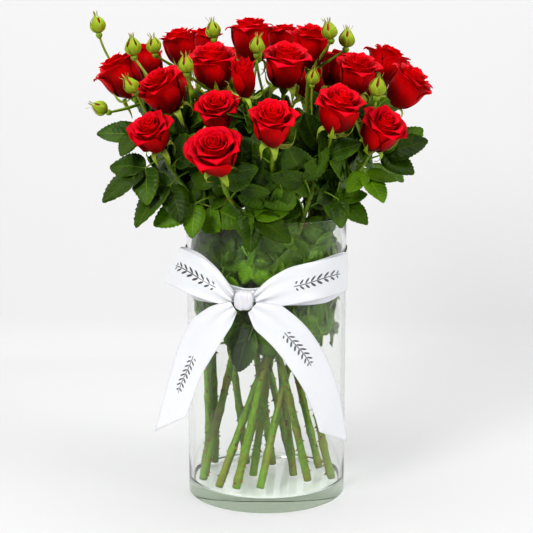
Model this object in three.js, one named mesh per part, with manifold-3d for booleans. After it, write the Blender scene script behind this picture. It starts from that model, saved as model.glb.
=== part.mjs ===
// Spray roses standing in a clear glass cylinder vase that wears a satin ribbon bow.
// Millimetres, +Z up. The origin is the middle of the vase's flat underside, and -Y is the bow's side.
import * as THREE from "three";
import { mergeVertices } from "three/addons/utils/BufferGeometryUtils.js";
import Module from "manifold-3d";

const wasm = await Module();
wasm.setup();

// Vase: a straight blown cylinder with a thick floor.
const VASE_RADIUS = 75;
const VASE_HEIGHT = 268;
const WALL = 3.5;
const FLOOR = 13;
const HEEL = 3;
const FILLET = 6;
const LIP = 1.2;
const VASE_SIDES = 48;
const INNER_RADIUS = VASE_RADIUS - WALL;

// Ribbon: one satin strip, tied round the vase and then in a bow.
const RIBBON_WIDTH = 35;
const RIBBON_THICKNESS = 0.8;
const BAND_GAP = 0.4;
const BAND_SIDES = 48;
const BAND_FRONT_HEIGHT = 204;
const BAND_RISE = 16;
const KNOT_CENTRE = [-20, -86.5, 201.5];
const KNOT_SIZE = [8.6, 4.6, 8.2];

// Stems.
const FOOT_RADIUS = 3.9;
const NECK_RADIUS = 2;
const HIP_RADIUS = 3.6;
const BRANCH_RADIUS = 1.5;
const FOOT_GAP = 0.5;
const HEAD_GAP = 0.8;
const CLEARANCE = 1.2;
const WALL_CLEARANCE = 9;
const STEM_STEPS = 13;
const BRANCH_STEPS = 5;
const NECK_LENGTH = 24;
const LEAF_THICKNESS = 1;
const LEAF_CURL = 55;

const X = new THREE.Vector3(1, 0, 0);
const Y = new THREE.Vector3(0, 1, 0);
const Z = new THREE.Vector3(0, 0, 1);
const vec = (p) => new THREE.Vector3(...p);

const material = (color, roughness, extra = {}) =>
  new THREE.MeshStandardMaterial({ color, roughness, metalness: 0, ...extra });
const GLASS = material("#dfe9e4", 0.03, { transparent: true, opacity: 0.3 });
const SATIN = material("#eceaf2", 0.35);
const PETAL = material("#c40812", 0.55);
const STEM = material("#5f8f2c", 0.5);
const LEAF = material("#2f5f22", 0.5);

// The flowers. at: middle of the head; size: across and along its axis; lean: the way it faces.
const bloom = (at, across, along, lean) => ({
  middle: vec(at),
  across,
  along,
  axis: vec(lean).normalize(),
});
// A closed bud. at: its middle; lean: the way it points.
const bud = (at, lean, length = 19) => ({ middle: vec(at), axis: vec(lean).normalize(), length });

// Each cut stem: where its foot stands, the flower on its main stem, its side flowers and its buds.
const STEMS = [
  {
    foot: [-62, 20],
    head: bloom([-131, -8, 393], 44, 42, [-0.5, -0.05, 0.86]),
    sides: [bloom([-112, 44, 404], 36, 38, [-0.3, 0.2, 0.93])],
    buds: [bud([-156, 8, 443], [-0.15, 0, 1], 20), bud([-150, -42, 368], [-0.9, -0.1, 0.45], 18)],
  },
  {
    foot: [-60, -21],
    head: bloom([17, -58, 403], 43, 40, [0.08, -0.36, 0.93]),
    sides: [bloom([-19, -88, 393], 27, 36, [-0.05, -0.45, 0.88])],
    buds: [bud([-8, -76, 424], [0.05, -0.1, 1], 18)],
  },
  {
    foot: [-52, 33],
    head: bloom([-78, 2, 418], 36, 38, [-0.22, 0, 0.97]),
    sides: [bloom([-60, 46, 418], 36, 38, [-0.1, 0.2, 0.97])],
    buds: [bud([-101, -27, 424], [-0.1, -0.1, 1], 18)],
  },
  {
    foot: [-44, -42],
    head: bloom([99, -72, 347], 40, 39, [0.32, -0.58, 0.75]),
    sides: [bloom([80, -38, 395], 38, 39, [0.14, -0.34, 0.93])],
    buds: [bud([96, -80, 389], [0.1, -0.15, 1], 20)],
  },
  {
    foot: [-28, -46],
    head: bloom([61, -93, 366], 42, 40, [0.22, -0.46, 0.86]),
    sides: [],
    buds: [bud([40, -84, 397], [0.1, -0.3, 0.95], 16)],
  },
  {
    foot: [-20, 30],
    head: bloom([-89, -62, 381], 42, 40, [-0.45, -0.38, 0.81]),
    sides: [bloom([-97, -90, 346], 36, 35, [-0.28, -0.62, 0.73])],
    buds: [bud([-119, -38, 423], [-0.1, -0.1, 1], 20), bud([-118, -78, 390], [-0.5, -0.3, 0.8], 18)],
  },
  {
    foot: [-13, -9],
    head: bloom([40, -6, 420], 40, 40, [0.05, -0.15, 0.98]),
    sides: [bloom([66, 26, 398], 38, 38, [0.2, 0.1, 0.97])],
    buds: [bud([56, -30, 437], [-0.2, -0.1, 1], 19), bud([73, -12, 430], [0.1, 0.1, 1], 20)],
  },
  {
    foot: [-6, -47],
    head: bloom([126, -14, 383], 43, 41, [0.6, -0.25, 0.76]),
    sides: [bloom([110, 27, 402], 40, 39, [0.38, 0.1, 0.92])],
    buds: [],
  },
  {
    foot: [6, 27],
    head: bloom([-47, -48, 402], 44, 41, [-0.1, -0.3, 0.95]),
    sides: [bloom([-43, -84, 364], 36, 36, [0, -0.62, 0.78])],
    buds: [bud([-69, -84, 408], [-0.05, -0.2, 1], 18)],
  },
  {
    foot: [26, -9],
    head: bloom([-14, 2, 426], 44, 41, [0, 0, 1]),
    sides: [],
    buds: [bud([-49, -4, 438], [-0.1, 0, 1], 19)],
  },
  {
    foot: [39, -24],
    head: bloom([-42, -117, 331], 45, 39, [-0.12, -0.68, 0.72]),
    sides: [],
    buds: [],
  },
  {
    foot: [52, 14],
    head: bloom([-34, 86, 398], 40, 40, [-0.15, 0.5, 0.85]),
    sides: [bloom([17, 50, 421], 40, 40, [0, 0.15, 0.98])],
    buds: [bud([-8, 74, 432], [0, 0.2, 1], 19)],
  },
  {
    foot: [62, -17],
    head: bloom([5, -118, 355], 38, 39, [0, -0.58, 0.81]),
    sides: [],
    buds: [],
  },
  {
    foot: [24, 52],
    head: bloom([-88, 84, 374], 42, 40, [-0.45, 0.5, 0.74]),
    sides: [bloom([-30, 118, 352], 40, 38, [-0.1, 0.7, 0.7])],
    buds: [bud([-70, 116, 376], [-0.3, 0.5, 0.8], 18)],
  },
  {
    foot: [-22, 55],
    head: bloom([96, 70, 376], 42, 40, [0.5, 0.45, 0.74]),
    sides: [bloom([42, 92, 384], 42, 40, [0.2, 0.55, 0.81])],
    buds: [bud([74, 92, 405], [0.2, 0.3, 0.95], 19)],
  },
];

// Compound leaves. base: foot of the leaf stalk; tip: point of the end leaflet; face: the way its upper side looks.
const LEAVES = [
  { base: [-84, -52, 324], tip: [-146, -76, 292], face: [-0.3, -0.6, 0.7], pairs: 1 },
  { base: [-66, -54, 312], tip: [-117, -88, 272], face: [-0.4, -0.7, 0.5], pairs: 1 },
  { base: [-46, -62, 292], tip: [-97, -84, 268], face: [-0.2, -0.7, 0.6], pairs: 1 },
  { base: [-99, -50, 341], tip: [-149, -60, 348], face: [-0.2, -0.5, 0.8], pairs: 1 },
  { base: [112, -8, 322], tip: [146, -4, 346], face: [0.3, -0.9, 0.2], pairs: 0 },
  { base: [84, -26, 316], tip: [146, -32, 338], face: [0.1, -0.8, 0.5], pairs: 1 },
  { base: [80, -56, 322], tip: [99, -92, 288], face: [0.3, -0.8, 0.5], pairs: 1 },
  { base: [48, -66, 296], tip: [90, -86, 272], face: [0.3, -0.8, 0.5], pairs: 1 },
  { base: [-60, 62, 308], tip: [-112, 98, 284], face: [-0.3, 0.7, 0.6], pairs: 2 },
  { base: [18, 72, 300], tip: [34, 132, 272], face: [0, 0.6, 0.8], pairs: 2 },
  { base: [82, 48, 306], tip: [136, 74, 292], face: [0.4, 0.5, 0.7], pairs: 2 },
  { base: [-8, -57, 198], tip: [-28, -61, 128], face: [-0.35, -1, 0], pairs: 1, arch: 0.03 },
];

const root = new THREE.Group();

function addMesh(name, geometry, look) {
  const mesh = new THREE.Mesh(geometry, look);
  mesh.name = name;
  root.add(mesh);
}

// Moves every vertex of a geometry to place(vertex).
function reshape(geometry, place) {
  const position = geometry.attributes.position;
  const v = new THREE.Vector3();
  for (let i = 0; i < position.count; i += 1) {
    const moved = place(v.fromBufferAttribute(position, i));
    position.setXYZ(i, moved.x, moved.y, moved.z);
  }
  return geometry;
}

// A closed geometry as a manifold-3d solid, and back again.
function toSolid(geometry) {
  const bare = new THREE.BufferGeometry();
  const source = geometry.index ? geometry.toNonIndexed() : geometry;
  bare.setAttribute("position", source.getAttribute("position"));
  const merged = mergeVertices(bare, 1e-4);
  return new wasm.Manifold(
    new wasm.Mesh({
      numProp: 3,
      vertProperties: merged.attributes.position.array,
      triVerts: new Uint32Array(merged.index.array),
    }),
  );
}

function toGeometry(solid) {
  const mesh = solid.getMesh();
  const geometry = new THREE.BufferGeometry();
  geometry.setAttribute("position", new THREE.BufferAttribute(mesh.vertProperties, 3));
  geometry.setIndex(new THREE.BufferAttribute(mesh.triVerts, 1));
  return geometry;
}

const joined = (geometries) => toGeometry(geometries.map(toSolid).reduce((a, b) => a.add(b)));

// A vector across the tangent that keeps the same side along a whole run.
function across(tangent, side) {
  return side.clone().addScaledVector(tangent, -side.dot(tangent)).normalize();
}

function tangentAt(points, k) {
  const before = points[Math.max(k - 1, 0)];
  const after = points[Math.min(k + 1, points.length - 1)];
  return after.clone().sub(before).normalize();
}

// A closed round tube whose rings are centred on the points.
function tube(points, radii, sides) {
  const steps = points.length - 1;
  const chord = points[steps].clone().sub(points[0]).normalize();
  const side = Math.abs(chord.x) < 0.7 ? X : Y;
  const rod = new THREE.CylinderGeometry(1, 1, 1, sides, steps);
  return reshape(rod, (v) => {
    const k = Math.round((v.y + 0.5) * steps);
    const tangent = tangentAt(points, k);
    const right = across(tangent, side);
    const up = new THREE.Vector3().crossVectors(right, tangent);
    return points[k]
      .clone()
      .addScaledVector(right, v.x * radii[k])
      .addScaledVector(up, v.z * radii[k]);
  });
}

// A solid turned about its own axis from a profile of [radius, height] pairs, then set on base along axis.
function turned(profile, sides, base, axis) {
  const outline = profile.map(([r, h]) => new THREE.Vector2(r, h));
  const geometry = new THREE.LatheGeometry(outline, sides);
  geometry.applyQuaternion(new THREE.Quaternion().setFromUnitVectors(Y, axis));
  return geometry.translate(base.x, base.y, base.z);
}

// ---- Vase ----

function quarter(cx, cy, radius, from, steps = 3) {
  return Array.from({ length: steps + 1 }, (_, i) => {
    const angle = ((from + (90 * i) / steps) * Math.PI) / 180;
    return [cx + radius * Math.cos(angle), cy + radius * Math.sin(angle)];
  });
}

function vase() {
  const fillet = quarter(INNER_RADIUS - FILLET, FLOOR + FILLET, FILLET, -90).reverse();
  const profile = [
    [0, 0],
    ...quarter(VASE_RADIUS - HEEL, HEEL, HEEL, -90),
    ...quarter(VASE_RADIUS - LIP, VASE_HEIGHT - LIP, LIP, 0, 2),
    ...quarter(INNER_RADIUS + LIP, VASE_HEIGHT - LIP, LIP, 90, 2),
    ...fillet,
    [0, FLOOR],
  ];
  return turned(profile, VASE_SIDES, new THREE.Vector3(), Z);
}

// ---- Ribbon ----

// The band's middle height and its share of the full width, by angle from the knot.
function band() {
  const inner = VASE_RADIUS + BAND_GAP;
  const outer = inner + RIBBON_THICKNESS;
  const half = RIBBON_WIDTH / 2;
  const section = [
    [inner, -half],
    [outer, -half],
    [outer, half],
    [inner, half],
    [inner, -half],
  ];
  const ring = turned(section, BAND_SIDES, new THREE.Vector3(), Z);
  return reshape(ring, (v) => {
    const fromKnot = Math.atan2(v.x - KNOT_CENTRE[0] * 0.8, -v.y);
    const away = (1 - Math.cos(fromKnot)) / 2;
    const gathered = 0.3 + 0.7 * Math.min(1, Math.abs(fromKnot) / 0.9);
    return v.setZ(BAND_FRONT_HEIGHT + BAND_RISE * Math.min(1, 2 * away) + v.z * gathered);
  });
}

// A flat strip. Each station is [middle, edge]: edge reaches from the middle to the strip's upper edge.
// Both faces are cut along the same diagonals, so the strip keeps its thickness where it twists.
function strip(stations) {
  const middles = new THREE.CatmullRomCurve3(stations.map(([middle]) => vec(middle)));
  const edges = new THREE.CatmullRomCurve3(stations.map(([, edge]) => vec(edge)));
  const steps = 2 * (stations.length - 1);
  const points = Array.from({ length: steps + 1 }, (_, k) => middles.getPoint(k / steps));
  const half = RIBBON_THICKNESS / 2;
  const corners = points.flatMap((point, k) => {
    const edge = edges.getPoint(k / steps);
    const normal = new THREE.Vector3().crossVectors(tangentAt(points, k), edge).normalize();
    const rim = (up, out) =>
      point.clone().addScaledVector(edge, up).addScaledVector(normal, out * half);
    return [rim(1, 1), rim(1, -1), rim(-1, -1), rim(-1, 1)];
  });
  const quad = (a, b, c, d) => [a, b, c, a, c, d];
  const last = 4 * steps;
  const index = [...quad(2, 3, 0, 1), ...quad(last + 2, last + 1, last, last + 3)];
  for (let a = 0; a < last; a += 4) {
    const b = a + 4;
    index.push(...quad(a + 3, b + 3, b, a));
    index.push(a + 2, b + 1, b + 2, a + 2, a + 1, b + 1);
    index.push(...quad(a + 1, a, b, b + 1));
    index.push(...quad(a + 2, b + 2, b + 3, a + 3));
  }
  const geometry = new THREE.BufferGeometry().setFromPoints(corners);
  return geometry.setIndex(index);
}

const LOOP_LEFT = [
  [[-30.5, -88, 203.5], [2, 0, 6]],
  [[-45, -89.5, 214.5], [3, 0, 14]],
  [[-62, -83, 222.5], [4.5, 0, 16.8]],
  [[-78, -69, 227.5], [6.5, 0, 16]],
  [[-84, -60, 228.5], [7, 0, 16]],
  [[-79, -56, 228], [6.5, 0, 16]],
  [[-62, -64, 222], [4.5, 0, 16.5]],
  [[-46, -72, 213], [3, 0, 14]],
  [[-31, -79.5, 204], [2, 0, 6]],
];

const LOOP_RIGHT = [
  [[-9.5, -88, 202], [-2, 0, 6]],
  [[4, -89, 208], [-3, 0, 12]],
  [[22, -86, 214], [-2, 0, 16.5]],
  [[42, -77.5, 217], [-1, 0, 17.4]],
  [[64, -59, 219], [0, 0, 17.4]],
  [[74, -44, 220], [0, 0, 17.4]],
  [[70, -42.5, 220], [0, 0, 17.4]],
  [[56, -59, 218.5], [0, 0, 17.4]],
  [[38, -72.5, 215], [-1, 0, 17]],
  [[20, -79.5, 211], [-2, 0, 14]],
  [[-9, -80.5, 203], [-2, 0, 6]],
];

const TAIL_LEFT = [
  [[-29, -90, 196.5], [-3, 0, 5]],
  [[-40, -91, 188], [-9, -1, 9]],
  [[-53, -88, 174], [-13, 3, 9.5]],
  [[-63, -82, 156], [-14, 8, 6.5]],
  [[-71, -75, 136], [-13, 11, 3.5]],
  [[-78, -69, 115], [-12.5, 12, 2]],
  [[-88.4, -61.6, 80.8], [-15.4, 15.1, -11.2]],
];

const TAIL_RIGHT = [
  [[-12, -91, 196], [4, 0, 5]],
  [[1, -90.5, 187], [11, 0, 11]],
  [[20, -86, 169], [13.5, 2.5, 10]],
  [[35, -78, 147], [14, 6, 8.5]],
  [[47, -69.5, 123], [13, 9.5, 6.5]],
  [[56, -61.5, 97], [12.5, 11.5, 4]],
  [[61.5, -56, 67.1], [13.9, 14.9, -9.6]],
];

function knot() {
  const ball = new THREE.SphereGeometry(1, 12, 8);
  ball.scale(...KNOT_SIZE);
  return ball.translate(...KNOT_CENTRE);
}

// ---- Stems, worked out so that no two touch ----

const headBase = (flower) => flower.middle.clone().addScaledVector(flower.axis, -flower.along / 2);
const budBase = (b) => b.middle.clone().addScaledVector(b.axis, -b.length / 2);

// Closest points of two segments, as shares along each, and the vector from the first to the second.
function nearest(a0, a1, b0, b1) {
  const u = a1.clone().sub(a0);
  const w = b1.clone().sub(b0);
  const r = a0.clone().sub(b0);
  const uu = u.dot(u);
  const ww = w.dot(w);
  const uw = u.dot(w);
  const det = uu * ww - uw * uw;
  const clamp = THREE.MathUtils.clamp;
  let s = det < 1e-6 ? 0.5 : clamp((uw * w.dot(r) - ww * u.dot(r)) / det, 0, 1);
  const t = clamp((uw * s + w.dot(r)) / ww, 0, 1);
  s = clamp((uw * t - u.dot(r)) / uu, 0, 1);
  const gap = b0.clone().addScaledVector(w, t).sub(a0).addScaledVector(u, -s);
  return { s, t, gap };
}

// A run of points with a radius at each. The first `held` and last two points stay where they are.
function chain(points, radii, held, owner) {
  return { points, radii, held, owner };
}

function push(run, k, share, step) {
  const free = (i) => i >= run.held && i < run.points.length - 2;
  if (free(k)) run.points[k].addScaledVector(step, 1 - share);
  if (free(k + 1)) run.points[k + 1].addScaledVector(step, share);
}

function pushApart(a, b) {
  for (let i = 0; i < a.points.length - 1; i += 1) {
    for (let j = 0; j < b.points.length - 1; j += 1) {
      const { s, t, gap } = nearest(a.points[i], a.points[i + 1], b.points[j], b.points[j + 1]);
      const need = Math.max(a.radii[i], a.radii[i + 1]) + Math.max(b.radii[j], b.radii[j + 1]);
      const short = need + CLEARANCE - gap.length();
      if (short <= 0) continue;
      const step = gap.clone().normalize().multiplyScalar(short * 0.6);
      push(a, i, s, step.clone().negate());
      push(b, j, t, step);
    }
  }
}

function keepOutOf(run, balls) {
  for (const ball of balls.filter((b) => b.owner !== run.owner)) {
    for (let k = 0; k < run.points.length - 1; k += 1) {
      const top = ball.middle.clone().addScaledVector(Z, 0.1);
      const { s, gap } = nearest(run.points[k], run.points[k + 1], ball.middle, top);
      const short = ball.radius + run.radii[k] + CLEARANCE - gap.length();
      if (short > 0) push(run, k, s, gap.normalize().multiplyScalar(-short));
    }
  }
}

// Inside the glass a stem keeps off the wall, and above the lip it may lean out at 45 degrees.
function keepInGlass(run) {
  run.points.forEach((p, k) => {
    const above = Math.max(0, p.z - VASE_HEIGHT);
    const most = INNER_RADIUS - run.radii[k] - WALL_CLEARANCE + above;
    const far = Math.hypot(p.x, p.y);
    if (far <= most || k < run.held || above > 2 * WALL_CLEARANCE) return;
    p.x *= most / far;
    p.y *= most / far;
  });
}

function smooth(run) {
  for (let k = Math.max(run.held, 1); k < run.points.length - 2; k += 1) {
    const middle = run.points[k - 1].clone().add(run.points[k + 1]).multiplyScalar(0.5);
    run.points[k].lerp(middle, 0.25);
  }
}

function settle(moving, fixed, balls, rounds) {
  for (let round = 0; round < rounds; round += 1) {
    if (round < rounds - 12) moving.forEach(smooth);
    moving.forEach((a, i) => moving.slice(i + 1).forEach((b) => pushApart(a, b)));
    moving.forEach((a) => fixed.forEach((b) => a.parent !== b && pushApart(a, b)));
    moving.forEach((run) => keepOutOf(run, balls));
    moving.forEach(keepInGlass);
  }
}

// A main stem: straight from its foot to the rim on its flower's side, then out to the flower.
function mainStem(stem) {
  const base = headBase(stem.head).addScaledVector(stem.head.axis, -HEAD_GAP);
  const foot = new THREE.Vector3(...stem.foot, FLOOR + FOOT_GAP + 0.35 * FOOT_RADIUS);
  const out = Math.hypot(base.x, base.y);
  const atRim = new THREE.Vector3(base.x, base.y, 0).multiplyScalar((50 * Math.tanh(out / 70)) / out);
  atRim.setZ(VASE_HEIGHT);
  const neck = base.clone().addScaledVector(stem.head.axis, -NECK_LENGTH);
  const path = new THREE.CatmullRomCurve3([foot, foot.clone().lerp(atRim, 0.55), atRim, neck, base]);
  const points = Array.from({ length: STEM_STEPS + 1 }, (_, k) => path.getPointAt(k / STEM_STEPS));
  points[STEM_STEPS - 1] = neck;
  const radii = points.map((_, k) => {
    const share = k / STEM_STEPS;
    return k === STEM_STEPS ? HIP_RADIUS : THREE.MathUtils.lerp(FOOT_RADIUS, NECK_RADIUS, share);
  });
  return chain(points, radii, 1, stem.head);
}

// A side shoot: it leaves the main stem below its flower or bud and meets it along its axis.
function sideShoot(parent, base, axis, reach, radius, hip, owner) {
  const wanted = Math.max(base.z - reach, VASE_HEIGHT + 8);
  const inner = parent.points.slice(1, STEM_STEPS - 1);
  const start = inner.reduce((a, b) => (Math.abs(b.z - wanted) < Math.abs(a.z - wanted) ? b : a));
  const neck = base.clone().addScaledVector(axis, -0.3 * reach);
  const knee = start.clone().lerp(neck, 0.4).addScaledVector(Z, 0.12 * reach);
  const path = new THREE.CatmullRomCurve3([start.clone(), knee, neck, base]);
  const points = Array.from({ length: BRANCH_STEPS + 1 }, (_, k) => path.getPoint(k / BRANCH_STEPS));
  const radii = points.map((_, k) => (k === BRANCH_STEPS ? hip : radius));
  return { ...chain(points, radii, 1, owner), parent };
}

function shootsOf(stem, main) {
  const flowers = stem.sides.map((side) => {
    const base = headBase(side).addScaledVector(side.axis, -HEAD_GAP);
    return sideShoot(main, base, side.axis, 62, BRANCH_RADIUS, HIP_RADIUS, side);
  });
  const buds = stem.buds.map((b) =>
    sideShoot(main, budBase(b).addScaledVector(b.axis, 2), b.axis, 46, 1.1, 1.1, b),
  );
  return [...flowers, ...buds];
}

const mains = STEMS.map(mainStem);
const flowers = STEMS.flatMap((stem) => [stem.head, ...stem.sides]);
const flowerBalls = flowers.map((f) => ({
  middle: f.middle,
  radius: Math.max(f.across, f.along) / 2,
  owner: f,
}));
settle(mains, [], flowerBalls, 160);
const shoots = STEMS.flatMap((stem, i) => shootsOf(stem, mains[i]));
const budBalls = STEMS.flatMap((stem) => stem.buds).map((b) => ({
  middle: b.middle,
  radius: b.length / 2,
  owner: b,
}));
settle(shoots, mains, [...flowerBalls, ...budBalls], 120);

function budSolid(b) {
  const r = 0.3 * b.length;
  const l = b.length;
  const profile = [
    [0, 0],
    [0.75 * r, 0.08 * l],
    [r, 0.34 * l],
    [0.45 * r, 0.68 * l],
    [0, l],
  ];
  return turned(profile, 10, budBase(b), b.axis);
}

function flowerSolid(flower) {
  const r = flower.across / 2;
  const l = flower.along;
  const profile = [
    [0, 0],
    [0.36 * r, 0.02 * l],
    [0.84 * r, 0.24 * l],
    [r, 0.6 * l],
    [0.86 * r, 0.9 * l],
    [0, l],
  ];
  return turned(profile, 12, headBase(flower), flower.axis);
}

// ---- Leaves ----

// A leaflet's flat outline, from its foot at x = from to its point, with the given half width.
function leaflet(from, length, half, turn) {
  const outline = [
    [0, 0],
    [0.2, 0.8],
    [0.45, 1],
    [0.75, 0.62],
    [1, 0],
    [0.75, -0.62],
    [0.45, -1],
    [0.2, -0.8],
  ];
  const shape = new THREE.Shape(outline.map(([x, y]) => new THREE.Vector2(x * length, y * half)));
  const plate = new THREE.ExtrudeGeometry(shape, { depth: LEAF_THICKNESS, bevelEnabled: false });
  return plate.rotateZ(turn).translate(from, 0, -LEAF_THICKNESS / 2);
}

// A rose leaf: a stalk with an end leaflet and up to two pairs of side leaflets, drooping a little.
function leafSolid({ base, tip, face, pairs, arch = 0.1 }) {
  const from = vec(base);
  const along = vec(tip).sub(from);
  const length = along.length();
  along.normalize();
  const normal = across(along, vec(face));
  const side = new THREE.Vector3().crossVectors(normal, along);
  const end = Math.min(46, 0.6 * length);
  const stalk = length - end;
  const rib = new THREE.BoxGeometry(stalk + 8, 2, 1.8).translate((stalk + 8) / 2, 0, 0);
  const plates = [rib, leaflet(stalk, end, 0.34 * end, 0)];
  for (let pair = 0; pair < pairs; pair += 1) {
    const at = stalk * (0.86 - 0.48 * pair);
    const size = end * (0.78 - 0.12 * pair);
    plates.push(leaflet(at, size, 0.33 * size, 1.05), leaflet(at, size, 0.33 * size, -1.05));
  }
  const droop = arch * length;
  return reshape(joined(plates), (v) => {
    const share = v.x / length;
    const lift = v.z + 4 * droop * share * (1 - share) - (v.y * v.y) / (2 * LEAF_CURL);
    return from
      .clone()
      .addScaledVector(along, v.x)
      .addScaledVector(side, v.y)
      .addScaledVector(normal, lift);
  });
}

// ---- The assembly ----

const number = (i) => String(i + 1).padStart(2, "0");

addMesh("vase", vase(), GLASS);
addMesh("ribbon_band", band(), SATIN);
addMesh("ribbon_knot", knot(), SATIN);
addMesh("ribbon_loop_left", strip(LOOP_LEFT), SATIN);
addMesh("ribbon_loop_right", strip(LOOP_RIGHT), SATIN);
addMesh("ribbon_tail_left", strip(TAIL_LEFT), SATIN);
addMesh("ribbon_tail_right", strip(TAIL_RIGHT), SATIN);

STEMS.forEach((stem, i) => {
  const parts = [tube(mains[i].points, mains[i].radii, 6)];
  shoots
    .filter((shoot) => shoot.parent === mains[i])
    .forEach((shoot) => parts.push(tube(shoot.points, shoot.radii, 5)));
  stem.buds.forEach((b) => parts.push(budSolid(b)));
  addMesh(`stem_${number(i)}`, joined(parts), STEM);
  [stem.head, ...stem.sides].forEach((flower, k) => {
    addMesh(`bloom_${number(i)}${"abc"[k]}`, flowerSolid(flower), PETAL);
  });
});

LEAVES.forEach((leaf, i) => addMesh(`leaf_${number(i)}`, leafSolid(leaf), LEAF));

export default root;
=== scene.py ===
# %% [markdown]
# # Roses in a glass vase
# A finished CAD model says where everything is: the vase, every cut stem, every flower head, the leaves
# and the ribbon. This notebook grows the fine shapes around it. Each piece is measured from its CAD node,
# so nothing has to be fitted by eye afterwards.

# %% Load the frame
import math
import random
from math import cos, exp, pi, sin, tau

import bmesh
import bpy
from mathutils import Matrix, Vector, noise


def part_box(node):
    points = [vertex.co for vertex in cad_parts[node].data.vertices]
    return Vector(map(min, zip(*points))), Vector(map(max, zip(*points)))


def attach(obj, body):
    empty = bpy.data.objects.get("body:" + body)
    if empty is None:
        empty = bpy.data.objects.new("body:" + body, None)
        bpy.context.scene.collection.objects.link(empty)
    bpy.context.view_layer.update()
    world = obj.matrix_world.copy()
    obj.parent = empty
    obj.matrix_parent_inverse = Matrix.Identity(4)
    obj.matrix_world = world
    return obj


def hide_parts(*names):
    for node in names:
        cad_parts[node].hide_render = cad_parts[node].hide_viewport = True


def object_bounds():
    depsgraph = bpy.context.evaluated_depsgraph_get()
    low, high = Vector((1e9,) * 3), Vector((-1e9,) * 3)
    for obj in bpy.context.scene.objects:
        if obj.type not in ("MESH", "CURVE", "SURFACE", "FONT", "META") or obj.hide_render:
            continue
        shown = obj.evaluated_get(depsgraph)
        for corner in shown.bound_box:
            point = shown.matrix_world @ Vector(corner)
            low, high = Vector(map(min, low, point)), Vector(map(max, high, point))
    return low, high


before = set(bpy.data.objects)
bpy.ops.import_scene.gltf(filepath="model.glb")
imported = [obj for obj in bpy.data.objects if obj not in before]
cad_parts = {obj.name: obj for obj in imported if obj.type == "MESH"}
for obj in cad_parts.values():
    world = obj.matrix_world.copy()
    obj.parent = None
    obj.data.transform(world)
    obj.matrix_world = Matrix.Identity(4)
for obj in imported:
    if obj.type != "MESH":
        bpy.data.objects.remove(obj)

MM = 0.001
UP = Vector((0, 0, 1))
CAD_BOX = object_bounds()
print("CAD box, metres:", [tuple(round(x, 3) for x in corner) for corner in CAD_BOX])

# %% [markdown]
# ## Camera
# The bunch is seen from a little above the rim, from far enough away that the vase's sides stay nearly
# parallel. A long lens does that. Depth of field stays off, so that every petal is sharp.

# %% Camera
DISTANCE = 1.2
EYE_HEIGHT = 0.422
LOOKING_DOWN = 9.7  # degrees
LENS = 87.1


def added(name, data):
    """A new object in the scene that holds this data."""
    made = bpy.data.objects.new(name, data)
    bpy.context.scene.collection.objects.link(made)
    return made


camera = added("camera", bpy.data.cameras.new("camera"))
camera.location = (0, -DISTANCE, EYE_HEIGHT)
camera.rotation_euler = (math.radians(90 - LOOKING_DOWN), 0, 0)
camera.data.lens = LENS
camera.data.clip_start = 0.05
bpy.context.scene.camera = camera
print("camera lens:", camera.data.lens)

# %% [markdown]
# ## Small helpers
# A few things are needed again and again: an eased step between two values, a smooth curve through a
# few points, places given by angle, and a way to turn a finished bmesh into an object that rides on the
# CAD body.

# %% Helpers
random.seed(12)


def eased(low, high, x):
    """0 below low, 1 above high, and a smooth S between."""
    t = min(1.0, max(0.0, (x - low) / (high - low)))
    return t * t * (3 - 2 * t)


def mix(a, b, t):
    return a + (b - a) * t


def wobble(most):
    """A random number from -most to most."""
    return random.uniform(-most, most)


def curve_through(points, count):
    """A list of count points, evenly spread over a Catmull-Rom curve through the given ones."""
    ends = [2 * points[0] - points[1], *points, 2 * points[-1] - points[-2]]
    made = []
    for i in range(count):
        place = i / (count - 1) * (len(points) - 1)
        k = min(int(place), len(points) - 2)
        t = place - k
        a, b, c, d = ends[k : k + 4]
        made.append(b + 0.5 * t * (c - a + t * (2 * a - 5 * b + 4 * c - d + t * (3 * (b - c) + d - a))))
    return made


def polar(radius, angle, z=0.0):
    """The point this far from the Z axis, at this angle round it and this height."""
    return Vector((radius * cos(angle), radius * sin(angle), z))


def axis_frame(foot, axis):
    """A matrix that stands a shape made along Z on foot, along axis."""
    return Matrix.Translation(foot) @ UP.rotation_difference(axis).to_matrix().to_4x4()


def frame_on(origin, along, face):
    """A matrix whose X runs along a direction and whose Z looks as nearly as it can towards face."""
    x = along.normalized()
    y = face.cross(x).normalized()
    return Matrix.Translation(origin) @ Matrix((x, y, x.cross(y))).transposed().to_4x4()


def finished(name, bm, materials, slot, *nodes, thickness=0.0):
    """Makes the piece, shades it smooth, has it ride on the body, and hides the CAD nodes it takes the
    place of.

    A sheet with a thickness becomes a closed shell: the first material on its face, the second behind.
    """
    mesh = bpy.data.meshes.new(name)
    bm.to_mesh(mesh)
    bm.free()
    for made in materials:
        mesh.materials.append(made)
    mesh.shade_smooth()
    piece = added(name, mesh)
    if thickness:
        shell = piece.modifiers.new("thickness", "SOLIDIFY")
        shell.thickness = thickness
        shell.offset = -1
        shell.material_offset = len(materials) - 1
    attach(piece, "root")
    if nodes:
        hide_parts(*nodes)
    return piece


def welded(node):
    """A copy of a CAD node's mesh with its loose triangles joined."""
    bm = bmesh.new()
    bm.from_mesh(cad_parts[node].data)
    bmesh.ops.remove_doubles(bm, verts=bm.verts, dist=0.02 * MM)
    return bm


def named(prefix):
    return [n for n in sorted(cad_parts) if n.startswith(prefix)]


def spun(bm, outline, steps):
    """Turns an outline of (radius, height) points about Z. Returns the outline's own points."""
    verts = [bm.verts.new((r, 0, z)) for r, z in outline]
    edges = [bm.edges.new(pair) for pair in zip(verts, verts[1:])]
    bmesh.ops.spin(
        bm, geom=verts + edges, axis=UP, cent=(0, 0, 0), steps=steps, angle=tau, use_merge=True
    )
    return verts


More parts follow.
